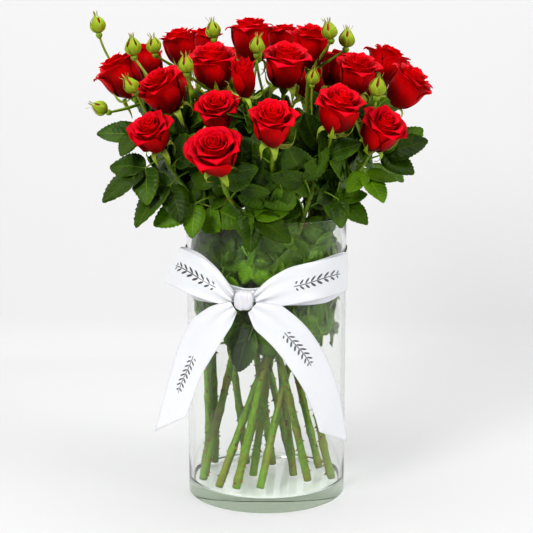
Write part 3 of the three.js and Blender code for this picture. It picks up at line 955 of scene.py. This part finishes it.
# %% One leaflet and one compound leaf
LEAF_ROWS = 24
LEAF_GRID = (LEAF_ROWS, 4)
RIB_STEPS = 12
LONGEST_LEAFLET = 47 * MM
HEAD_SHARE = 0.97
GLASS_GAP = 1.4 * MM
LEAVES_FROM = 0.56 * VASE_HEIGHT
RIM = VASE_HEIGHT + 1.5 * MM
LEAF_THICKNESS = 0.35 * MM


def leaflet_bend(length, width, fold, arch, place):
    """Bends a grid into a leaflet that runs along X from the place's origin, looking up along Z."""
    seed = Vector((random.uniform(0, 50), 0, 0))

    def bend(u, t):
        along, side = (u + 1) / 2, t * 2 - 1
        row = round(along * LEAF_ROWS)
        outline = along**0.5 * (1 - along) ** 0.75 / 0.431 if 0 < row < LEAF_ROWS else 0.02
        half = width / 2 * outline
        tooth = 0.0
        if abs(side) > 0.9 and 0 < row < LEAF_ROWS:
            half *= 1.035 if row % 2 else 0.96
            tooth = 0.012 if row % 2 else -0.006
        y = side * half
        lift = fold * abs(y) * (1 - 0.5 * along) - arch * length * along**2
        lift += 0.055 * width * noise.noise(seed + Vector((along * 3.2, side * 1.3, 0)))
        lift += 0.012 * width * sin(along * 40 - 9 * abs(side)) * abs(side)
        return place @ Vector((length * (along + tooth), y, lift))

    return bend


def leaf_plan(foot, tip, face, pairs):
    """Where a compound leaf's rib and its leaflets go: (origin, turn, size, width) for each leaflet."""
    along = tip - foot
    length = along.length
    end = min(LONGEST_LEAFLET, (0.62 if pairs else 0.85) * length)
    stalk = length - end
    place = frame_on(foot, along, face)
    bow = [0.06 * length * sin(pi * k / 15) for k in range(RIB_STEPS + 1)]
    rib = [place @ Vector((stalk * k / RIB_STEPS, 0, rise)) for k, rise in enumerate(bow)]
    leaflets = [(rib[-1], wobble(0.1), end, 0.68 * end)]
    for pair in range(pairs):
        origin = rib[RIB_STEPS - 1 - 5 * pair]
        size = end * (0.84 - 0.10 * pair)
        for side in (1.0, -1.0):
            leaflets.append((origin, side + wobble(0.15), size, 0.66 * size))
    return {
        "rib": rib,
        "turn": place.to_3x3().to_4x4(),
        "leaflets": leaflets,
        "arch": random.uniform(0.08, 0.24),
        "inside": foot.z < RIM - 6 * MM,
        "azimuth": math.atan2(foot.y, foot.x),
        "stem": foot,
    }


def leaflet_place(plan, leaflet):
    origin, turn = leaflet[:2]
    return Matrix.Translation(origin) @ plan["turn"] @ Matrix.Rotation(turn, 4, "Z")


def wrapped(point, azimuth):
    """A point near the tangent plane at this azimuth, wrapped round the vase's axis."""
    away = polar(1, azimuth)
    angle = azimuth + point.dot(UP.cross(away)) / INNER_RADIUS
    return polar(point.dot(away), angle, point.z)


def settled(point, inside):
    """The point moved out of every flower head, and back inside the glass or over its lip."""
    for head in HEADS:
        gap = point - head["middle"]
        need = HEAD_SHARE * max(head["radius"], head["length"] / 2)
        if gap.length < need:
            point = head["middle"] + gap.normalized() * need
    far = point.xy.length
    allowed = INNER_RADIUS - GLASS_GAP + max(0.0, point.z - RIM) * 2.5
    if inside:
        share = min(1.0, allowed / far)
        return Vector((point.x * share, point.y * share, point.z))
    from_lip = max(0.0, abs(far - (VASE_RADIUS + INNER_RADIUS) / 2) - 4 * MM)
    return Vector((point.x, point.y, max(point.z, RIM - 1.4 * from_lip)))


def strain(plan):
    """How far the leaf's own points would have to be moved to settle, the largest of them."""
    worst = 0.0
    for leaflet in plan["leaflets"]:
        place = leaflet_place(plan, leaflet)
        size, width = leaflet[2:]
        for x, y in ((0.1, 0), (0.5, 0.5), (0.5, -0.5), (1.0, 0)):
            point = place @ Vector((x * size, y * width, 0))
            if plan["inside"]:
                worst = max(worst, LEAVES_FROM - 8 * MM - point.z, point.z - VASE_HEIGHT - 20 * MM)
            else:
                worst = max(worst, (settled(point, False) - point).length, outside(point))
    return worst


ROOM_LOW, ROOM_HIGH = (Vector(c) for c in CAD_BOX)


def outside(point):
    """How far a point lies outside the bunch's outline: its CAD box, and a funnel above the lip."""
    over = max(max(a - p, p - b) for a, p, b in zip(ROOM_LOW, point, ROOM_HIGH))
    funnel = 0.090 + 0.36 * max(0.0, point.z - VASE_HEIGHT)
    low, high = VASE_HEIGHT - 22 * MM - point.z, point.z - VASE_HEIGHT - 106 * MM
    return max(0.0, over + 4 * MM, 0.8 * (point.xy.length - funnel), low, high)


def leaf_piece(name, plans, *nodes):
    """The leaflets of some compound leaves as one piece, and their stalks as another."""
    blades = blank(tone=True)
    stalks = bmesh.new()
    radii = [mix(1.0, 0.6, k / RIB_STEPS) * MM for k in range(RIB_STEPS + 1)]
    for plan in plans:
        inside = plan["inside"]

        def laid(point):
            return settled(wrapped(point, plan["azimuth"]) if inside else point, inside)

        for leaflet in plan["leaflets"]:
            place = leaflet_place(plan, leaflet) @ Matrix.Rotation(wobble(0.3), 4, "X")
            bend = leaflet_bend(*leaflet[2:], random.uniform(0.12, 0.38), plan["arch"], place)
            grid(blades, *LEAF_GRID, lambda u, t: laid(bend(u, t)))
        rib = [laid(p) for p in plan["rib"]]
        tube(stalks, rib, radii, 6, 0)
        if inside:
            shank = [plan["stem"], (plan["stem"] + rib[0]) / 2, rib[0]]
            tube(stalks, curve_through(shank, 5), [MM] * 5, 6, 0)
        for origin, turn, size, _ in plan["leaflets"]:
            ahead = (plan["turn"] @ Matrix.Rotation(turn, 4, "Z")).to_3x3() @ Vector((0.06 * size, 0, 0))
            tube(stalks, [laid(origin), laid(origin + ahead)], [0.7 * MM, 0.5 * MM], 6, 0)
    bmesh.ops.recalc_face_normals(stalks, faces=stalks.faces)
    finished(name + "_stalks", stalks, [SHOOT_GREEN], "stem")
    return finished(name, blades, [LEAF_TOP, LEAF_UNDER], "leaf", *nodes, thickness=LEAF_THICKNESS)


# %% [markdown]
# The twelve CAD leaves give the outline of the bunch. Each is read from its node: the far end of the
# stalk is the foot, the opposite end is the tip, and the plate's own direction is the face.

# %% Leaves that stand for CAD leaves
def leaf_from_node(node):
    bm = welded(node)
    points = [v.co.copy() for v in bm.verts]
    normal = Vector()
    for f in bm.faces:
        facing = f.normal * f.calc_area()
        normal += facing if facing.dot(UP - Vector((0, 1.0, 0))) > 0 else -facing
    middle = sum(points, Vector()) / len(points)
    far = sorted(points, key=lambda p: (p - middle).length)[-1]
    other = max(points, key=lambda p: (p - far).length)

    def crowd(end):
        return sum((p - end).length < 6 * MM for p in points)

    foot, tip = (far, other) if crowd(far) > crowd(other) else (other, far)
    bm.free()
    return foot, tip, normal.normalized()


LEAF_NODES = named("leaf")
for leaf_node in LEAF_NODES:
    foot, tip, face = leaf_from_node(leaf_node)
    pairs = 1 if (tip - foot).length > 42 * MM else 0
    leaf_piece(leaf_node + "_blades", [leaf_plan(foot, tip, face, pairs)], leaf_node)
print(len(LEAF_NODES), "outer leaves")

# %% [markdown]
# The rest of the foliage springs from the stems. Below the water line a florist strips the leaves, so
# they start a good way up the vase and go on to just under the flowers.

# %% Foliage along the stems
LEAF_EVERY = 17 * MM
TRIES = 24
SPROUT_STEPS = 240
MOST_STRAIN = 14 * MM
CROWN = RIM + 32 * MM


def candidate(at):
    """One way a leaf might grow from a point on a stem."""
    outward = Vector((at.x, at.y, 0)).normalized()
    azimuth = math.atan2(at.y, at.x) + random.gauss(0, 0.5)
    away = polar(1, azimuth)
    sideways = UP.cross(away) * wobble(1)
    high = at.z > CROWN
    reach = (random.uniform(34, 56) if high else random.uniform(50, 78)) * MM
    pairs = random.choice((0, 1, 1) if high else (1, 1, 2))
    if at.z < VASE_HEIGHT - 8 * MM:
        foot = away * random.uniform(0.78, 0.93) * INNER_RADIUS
        foot += UP * (at.z + random.uniform(-10, 14) * MM)
        slope = sideways + UP * random.choice((-1, 1)) * random.uniform(0.3, 1.2)
        plan = leaf_plan(foot, foot + slope.normalized() * reach * 0.85, away, pairs)
        plan["stem"] = at
        return plan
    climb = UP * (random.uniform(0.1, 1.4) if high else random.uniform(-0.6, 0.9))
    tip = at + (away * random.uniform(0.2, 1.0) + sideways + climb).normalized() * reach
    face = away * random.uniform(0.5, 1.0) + UP * random.uniform(0.2, 0.9)
    return leaf_plan(at, tip, (face + outward * 0.3).normalized(), pairs)


def sprout(line):
    """Leaves at even steps down one line, each the best of a few tries at finding room for it."""
    plans = []
    travelled = 0.0
    fine = curve_through(line, SPROUT_STEPS)
    for a, b in zip(fine, fine[1:]):
        travelled += (b - a).length
        room = LEAF_EVERY * (1.0 if b.z < RIM else 0.62 if b.z < CROWN else 0.42)
        if travelled < room or b.z < LEAVES_FROM or (b - fine[0]).length < 18 * MM:
            continue
        travelled = wobble(0.3) * LEAF_EVERY
        best = min((candidate(b) for _ in range(TRIES)), key=strain)
        if strain(best) < MOST_STRAIN:
            plans.append(best)
    return plans


def foliage(stem):
    plans = [plan for line in [stem["main"], *stem["side_heads"]] for plan in sprout(line)]
    leaf_piece(stem["node"] + "_leaves", plans)
    return len(plans)


print("leaves on each stem:", [foliage(stem) for stem in STEMS])

# %% [markdown]
# ## Vase
# The vase is blown and then cut: a straight cylinder with a thick clear floor, a rounded heel and a
# fire-polished lip. Its outline is turned in many fine steps, because glass shows every facet.

# %% Turn the vase
HEEL = 1.6 * MM
LIP = (VASE_RADIUS - INNER_RADIUS) / 2
FILLET = 4 * MM


def arc(cx, cz, radius, start, sweep, steps):
    angles = [math.radians(start + sweep * k / steps) for k in range(steps + 1)]
    return [(cx + radius * cos(a), cz + radius * sin(a)) for a in angles]


def straight(x, low, high, steps):
    return [(x, mix(low, high, k / steps)) for k in range(1, steps)]


def turn_vase():
    outline = [(0.0, 0.5 * MM), (VASE_RADIUS * 0.5, 0.4 * MM), (VASE_RADIUS * 0.9, 0.2 * MM)]
    outline += arc(VASE_RADIUS - HEEL, HEEL, HEEL, -90, 90, 6)
    outline += straight(VASE_RADIUS, HEEL, VASE_HEIGHT - LIP, 12)
    outline += arc(VASE_RADIUS - LIP, VASE_HEIGHT - LIP, LIP, 0, 180, 12)
    outline += straight(INNER_RADIUS, VASE_HEIGHT - LIP, FLOOR + FILLET, 12)
    outline += arc(INNER_RADIUS - FILLET, FLOOR + FILLET, FILLET, 0, -90, 8)
    outline += [(INNER_RADIUS * 0.45, FLOOR - 0.3 * MM), (0.0, FLOOR)]
    bm = bmesh.new()
    spun(bm, outline, 144)
    bmesh.ops.remove_doubles(bm, verts=bm.verts, dist=0.01 * MM)
    bmesh.ops.recalc_face_normals(bm, faces=bm.faces)
    return bm


GLASS, tree, shader = principled(
    "clear_glass", Base_Color=(0.99, 0.995, 0.99, 1), Roughness=0.0, IOR=1.4, Transmission_Weight=1.0,
    Specular_IOR_Level=0.12,
)
depth = node(tree, "VolumeAbsorption", {"Color": (0.42, 0.54, 0.36, 1), "Density": 9.0})
tree.links.new(depth.outputs[0], tree.nodes["Material Output"].inputs["Volume"])
clear = node(tree, "BsdfTransparent", {0: (0.93, 0.96, 0.945, 1)})
mix_surfaces(tree, node(tree, "LightPath").outputs["Is Shadow Ray"], shader, clear)
finished("vase_glass", turn_vase(), [GLASS], "glass", "vase")
print("vase:", round(2000 * VASE_RADIUS), "mm across and", round(1000 * VASE_HEIGHT), "mm tall")

# %% [markdown]
# ## Ribbon
# The bow is white satin: a band round the vase, a knot, two loops and two tails. The CAD gives each
# strip as a chain of four-cornered rings. Walking from ring to ring gives the strip's two edges, and a
# fine grid drawn between them can carry the pleats that the knot gathers into it.

# %% Read a strip's stations
def neighbours(verts):
    return {v: {e.other_vert(v) for e in v.link_edges} for v in verts}


def strip_rings(bm, near):
    """Rings of four vertices, in order from the end that lies nearest the knot."""
    around = neighbours(bm.verts)
    left = set(bm.verts)
    total = len(bm.verts) // 4
    closest = sorted(bm.verts, key=lambda v: (v.co - near).length)
    start = closest[0]
    thin = min(start.link_edges, key=lambda e: e.calc_length()).other_vert(start)
    pool = [v for v in closest if v not in (start, thin)][:14]
    best = None
    for v in pool:
        mate = min(v.link_edges, key=lambda e: e.calc_length()).other_vert(v)
        square = {start, thin, v, mate}
        if len(square) == 4 and mate in pool:
            inside = {e for w in square for e in w.link_edges if e.other_vert(w) in square}
            outer = sum(len(around[w] - square) for w in square)
            if len(inside) >= 5 and (best is None or outer < best[0]):
                best = (outer, square)
    ring = best[1]
    rings = []
    while ring and len(rings) < total:
        rings.append([v.co.copy() for v in ring])
        left -= ring
        ring = {w for v in ring for w in around[v]} & left
    return rings


def ring_ends(points):
    """The two ends of one ring's cross section: points closer than the thickness belong together."""
    first = points[0]
    mate = min(points[1:], key=lambda p: (p - first).length)
    others = [p for p in points if p is not first and p is not mate]
    return (first + mate) / 2, (others[0] + others[1]) / 2


def stations(node, near):
    bm = welded(node)
    rings = strip_rings(bm, near)
    bm.free()
    found = []
    for points in rings:
        a, b = ring_ends(points)
        if found:
            swap = (a - found[-1][0]).length + (b - found[-1][1]).length
            kept = (b - found[-1][0]).length + (a - found[-1][1]).length
            if kept < swap:
                a, b = b, a
        elif a.z < b.z:
            a, b = b, a
        found.append((a, b))
    return found


KNOT_LOW, KNOT_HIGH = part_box("ribbon_knot")
KNOT = Vector([(a + b) / 2 for a, b in zip(KNOT_LOW, KNOT_HIGH)])
KNOT_HALF = Vector([(b - a) / 2 for a, b in zip(KNOT_LOW, KNOT_HIGH)])
STRIPS = {n[7:]: stations(n, KNOT) for n in sorted(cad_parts) if n[7:11] in ("loop", "tail")}
RIBBON_WIDTH = max((a - b).length for name, strip in STRIPS.items() if "loop" in name for a, b in strip)
for name, strip in STRIPS.items():
    print(name, len(strip), "stations, width", [round(1000 * (a - b).length) for a, b in strip][:4])

# %% [markdown]
# Satin has a directional shine: it is bright where the cloth turns to the light and grey-lilac where
# it turns away. Anisotropic roughness along the strip gives the long soft highlights, and a very fine
# weave breaks them up. The ribbon is printed with a small dark sprig: a stalk with leaves in pairs.
# The strips' UVs count in ribbon widths from the middle of their sprig, so one material serves all.

# %% Satin
def squared_share(tree, off, half):
    return maths(tree, "POWER", maths(tree, "DIVIDE", maths(tree, "ABSOLUTE", off), half), 2.0)


sprig, into, out = group_of("sprig", [("Along", 0.0), ("Across", 0.0)], ["Mask"])
reach = maths(sprig, "ABSOLUTE", into[0])
wave = times(sprig, maths(sprig, "SINE", times(sprig, into[0], 4.0)), 0.03)
side = maths(sprig, "ABSOLUTE", minus(sprig, into[1], wave))
stalk = times(sprig, fade(sprig, side, 0.008, 0.016), fade(sprig, reach, 0.56, 0.6))
cell = maths(sprig, "FLOORED_MODULO", into[0], 0.15)
off_side = minus(sprig, side, 0.075)
off_along = minus(sprig, minus(sprig, cell, 0.075), times(sprig, off_side, 0.8))
blade = plus(sprig, squared_share(sprig, off_along, 0.036), squared_share(sprig, off_side, 0.062))
blade = plus(sprig, blade, times(sprig, reach, 0.6))
blade = times(sprig, fade(sprig, blade, 0.9, 1.15), fade(sprig, reach, 0.52, 0.54))
sprig.links.new(maths(sprig, "MAXIMUM", stalk, blade), out[0])

SATIN, tree, shader = principled(
    "white_satin", Roughness=0.28, Anisotropic=0.6, Sheen_Weight=0.1, Sheen_Roughness=0.3,
    Specular_IOR_Level=0.8, Subsurface_Weight=0.08, Subsurface_Scale=0.002,
)
_, along, up = uv_of(tree)
threads = node(tree, "CombineXYZ", {0: times(tree, along, 4.0), 1: times(tree, up, 500.0)})
weave = node(tree, "TexNoise", {"Vector": threads.outputs[0], "Scale": 1.0, "Detail": 2.0}).outputs[0]
across = minus(tree, up, 0.5)
selvage = band_pass(tree, maths(tree, "ABSOLUTE", across), 0.472, 0.486)
print_mask = node(tree, "Group", {0: along, 1: across}, node_tree=sprig).outputs[0]
cloth = blend_colours(
    tree, band_pass(tree, weave, 0.3, 0.7), (0.89, 0.885, 0.92, 1), (0.95, 0.945, 0.965, 1)
)
cloth = blend_colours(tree, times(tree, selvage, 0.5), cloth, (0.74, 0.73, 0.80, 1))
cloth = blend_colours(tree, times(tree, print_mask, 0.93), cloth, (0.02, 0.02, 0.025, 1))
painted(tree, shader, cloth, plus(tree, times(tree, weave, 0.35), selvage), 0.25, 0.0003)


# %% Strips between their edges
RIBBON_THICKNESS = 0.3 * MM
RIBBON_ROWS = 28
BAND_GRID = (240, 20)
# How far along each strip its sprig is printed.
PRINTED = {"loop_left": 0.27, "loop_right": 0.31, "tail_left": 0.70, "tail_right": 0.43}


def run_length(strip):
    middles = [(a + b) / 2 for a, b in strip]
    return sum((b - a).length for a, b in zip(middles, middles[1:]))


def measured_uvs(bm, length, printed):
    """Stretches the UVs along a strip so that they count ribbon widths from the printed share."""
    layer = bm.loops.layers.uv.verify()
    for face in bm.faces:
        for loop in face.loops:
            uv = loop[layer].uv
            loop[layer].uv = ((uv.x - printed) * length / RIBBON_WIDTH, uv.y)


def ribbon_sheet(name, strip, columns, pleats):
    """A satin strip as a grid between its two edges, gathered into pleats where the knot holds it."""
    uppers = curve_through([a for a, _ in strip], columns + 1)
    lowers = curve_through([b for _, b in strip], columns + 1)
    seeds = [random.uniform(0, tau) for _ in range(4)]
    bm = blank()

    def bend(u, t):
        k = round((u + 1) / 2 * columns)
        top, low = uppers[k], lowers[k]
        before, after = max(k - 1, 0), min(k + 1, columns)
        ahead = (uppers[after] - uppers[before]) + (lowers[after] - lowers[before])
        facing = ahead.cross(top - low).normalized()
        away = ((top + low) / 2 - KNOT).length - 10 * MM
        beyond = max(0.0, away)
        depth = pleats * (1.6 * exp(-beyond / (10 * MM)) + 1.3 * exp(-beyond / (32 * MM)))
        wave = sin(t * 15 + seeds[0]) + 0.4 * sin(t * 29 + seeds[1]) * exp(-away / (14 * MM))
        soft = 0.6 * MM * sin(t * 5 + k * 0.09 + seeds[2]) * sin(k * 0.11 + seeds[3])
        return low.lerp(top, t) + facing * (depth * wave * 0.8 * MM + soft)

    grid(bm, columns, RIBBON_ROWS, bend)
    measured_uvs(bm, run_length(strip), PRINTED[name])
    return finished("satin_" + name, bm, [SATIN], "ribbon", "ribbon_" + name, thickness=RIBBON_THICKNESS)


for name, strip in STRIPS.items():
    loop = "loop" in name
    columns, pleats = (96, 1.0) if loop else (64, 0.8)
    piece = ribbon_sheet(name, strip, columns, pleats)
    run_length(strip)
    print(piece.name, "length", round(1000 * run_length(strip)), "mm")


# %% [markdown]
# The knot is a short piece of the same ribbon, wrapped upright over the middle with pleats running
# down it. The band is one turn of ribbon round the vase, full width at the back and gathered where it
# runs in under the knot.

# %% Knot and band
def knot_piece():
    bm = bmesh.new()
    bmesh.ops.create_uvsphere(bm, u_segments=108, v_segments=48, radius=1.0, calc_uvs=True)
    measured_uvs(bm, RIBBON_WIDTH, 3.0)
    for v in bm.verts:
        x, y, z = v.co
        lean = x + 0.10 * sin(2.6 * z + 0.6)
        fold = 0.62 * abs(sin(5.2 * lean + 0.4)) ** 0.55 + 0.38 * abs(sin(9.7 * lean + 1.9)) ** 0.7
        square = (abs(x) ** 2.7 + abs(z) ** 2.7 + abs(y) ** 2.7) ** (1 / 2.7)
        pinch = 1.0 + 0.16 * z * z
        grown = (pinch, 0.86 + 0.42 * fold * (1 - abs(x) ** 8), 1.0 + 0.12 * fold)
        v.co = KNOT + Vector([c / square * half * g for c, half, g in zip((x, y, z), KNOT_HALF, grown)])
    return finished("satin_knot", bm, [SATIN], "ribbon", "ribbon_knot")


def band_edges():
    """The band's height limits by angle round the vase, read from its outer CAD points."""
    points = [v.co.copy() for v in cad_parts["ribbon_band"].data.vertices]
    outer = max(p.xy.length for p in points)
    found = {}
    for p in points:
        if p.xy.length > outer - 0.3 * MM:
            key = round(math.degrees(math.atan2(p.y, p.x))) % 360
            found.setdefault(key, []).append(p.z)
    return sorted((key, min(zs), max(zs)) for key, zs in found.items())


def band_piece():
    limits = band_edges()
    knot_angle = math.atan2(KNOT.y, KNOT.x)
    radius = VASE_RADIUS + MM
    bm = blank()

    def height_at(degrees):
        degrees %= 360
        after = next((k for k, item in enumerate(limits) if item[0] >= degrees), 0)
        a, b = limits[after - 1], limits[after]
        span = (b[0] - a[0]) % 360 or 360
        t = ((degrees - a[0]) % 360) / span
        return mix(a[1], b[1], t), mix(a[2], b[2], t)

    def bend(u, t):
        angle = knot_angle + pi * (u + 1)
        low, high = height_at(math.degrees(angle))
        gather = 1 - (high - low) / RIBBON_WIDTH
        wave = sin(t * tau * 3.5) * 0.5 + 0.5
        out = radius + 1.8 * MM * gather * wave + 0.25 * MM * sin(angle * 7 + t * 4)
        return polar(out, angle, mix(low, high, t))

    grid(bm, *BAND_GRID, bend)
    measured_uvs(bm, tau * radius, 2.0)
    bmesh.ops.remove_doubles(bm, verts=bm.verts, dist=0.01 * MM)
    return finished("satin_band", bm, [SATIN], "ribbon", "ribbon_band", thickness=RIBBON_THICKNESS)


knot_piece()
band = band_piece()
print("knot and band made")

# %% [markdown]
# ## Setting
# A pale floor curves up into a pale wall, and soft lights fill the scene: one broad key from the upper
# left front, a weaker fill from the right, one from above, and a faint one on the wall. The paper has
# one face only, so a view from behind looks through it. The world looks paper white, straight on and
# through the glass, but it lights the scene only dimly.

# %% Floor, wall and lights
def backdrop():
    """A swept sheet: flat floor, rounded corner, upright wall."""
    outline = [(-0.75, 0.0), (0.50, 0.0)]
    outline += [(0.50 + 0.05 * sin(a), 0.05 - 0.05 * cos(a)) for a in (0.4, 0.8, 1.2, pi / 2)]
    outline += [(0.55, 2.4)]
    bm = bmesh.new()
    verts = [bm.verts.new((-2.4, y, z)) for y, z in outline]
    edges = [bm.edges.new(pair) for pair in zip(verts, verts[1:])]
    grown = bmesh.ops.extrude_edge_only(bm, edges=edges)["geom"]
    bmesh.ops.translate(bm, vec=(4.8, 0, 0), verts=[g for g in grown if isinstance(g, bmesh.types.BMVert)])
    bm.normal_update()
    if sum((f.normal.z - f.normal.y) * f.calc_area() for f in bm.faces) < 0:
        bmesh.ops.reverse_faces(bm, faces=bm.faces)
    mesh = bpy.data.meshes.new("backdrop")
    bm.to_mesh(mesh)
    bm.free()
    mesh.shade_smooth()
    paper, tree, shader = principled(
        "paper", Base_Color=(0.44, 0.44, 0.442, 1), Roughness=0.9, Emission_Color=(1, 0.995, 1, 1),
        Emission_Strength=0.30,
    )
    behind = node(tree, "NewGeometry").outputs["Backfacing"]
    mix_surfaces(tree, behind, shader, node(tree, "BsdfTransparent"))
    mesh.materials.append(paper)
    added("backdrop", mesh)


def soft_light(name, place, aim, size, power):
    lamp = bpy.data.lights.new(name, "AREA")
    lamp.shape = "RECTANGLE"
    lamp.size, lamp.size_y = size
    lamp.energy = power
    made = added(name, lamp)
    made.location = place
    made.rotation_euler = (Vector(aim) - Vector(place)).to_track_quat("-Z", "Y").to_euler()


backdrop()
for light in (
    ("key", (-0.9, -1.3, 1.25), (0, 0, 0.28), (0.5, 0.8), 21),
    ("fill", (1.3, -0.8, 0.8), (0, 0, 0.25), (0.4, 1.2), 9.5),
    ("top", (0.0, -0.2, 1.7), (0, 0, 0.2), (1.4, 0.8), 10),
    ("wall_wash", (0.0, -0.1, 1.5), (0, 0.55, 0.5), (1.8, 0.4), 2),
):
    soft_light(*light)
world = bpy.data.worlds.new("studio")
world.use_nodes = True
sky = world.node_tree
dim = sky.nodes["Background"]
dim.inputs["Color"].default_value = (0.97, 0.98, 1, 1)
dim.inputs["Strength"].default_value = 0.10
paths = node(sky, "LightPath").outputs
looked_at = maths(sky, "MAXIMUM", paths["Is Camera Ray"], paths["Is Transmission Ray"])
mix_surfaces(sky, looked_at, dim, node(sky, "Background", {"Strength": 0.86}), "World Output")
scene = bpy.context.scene
scene.world = world
scene.view_settings.view_transform = "Standard"
scene.view_settings.look = "Medium High Contrast"
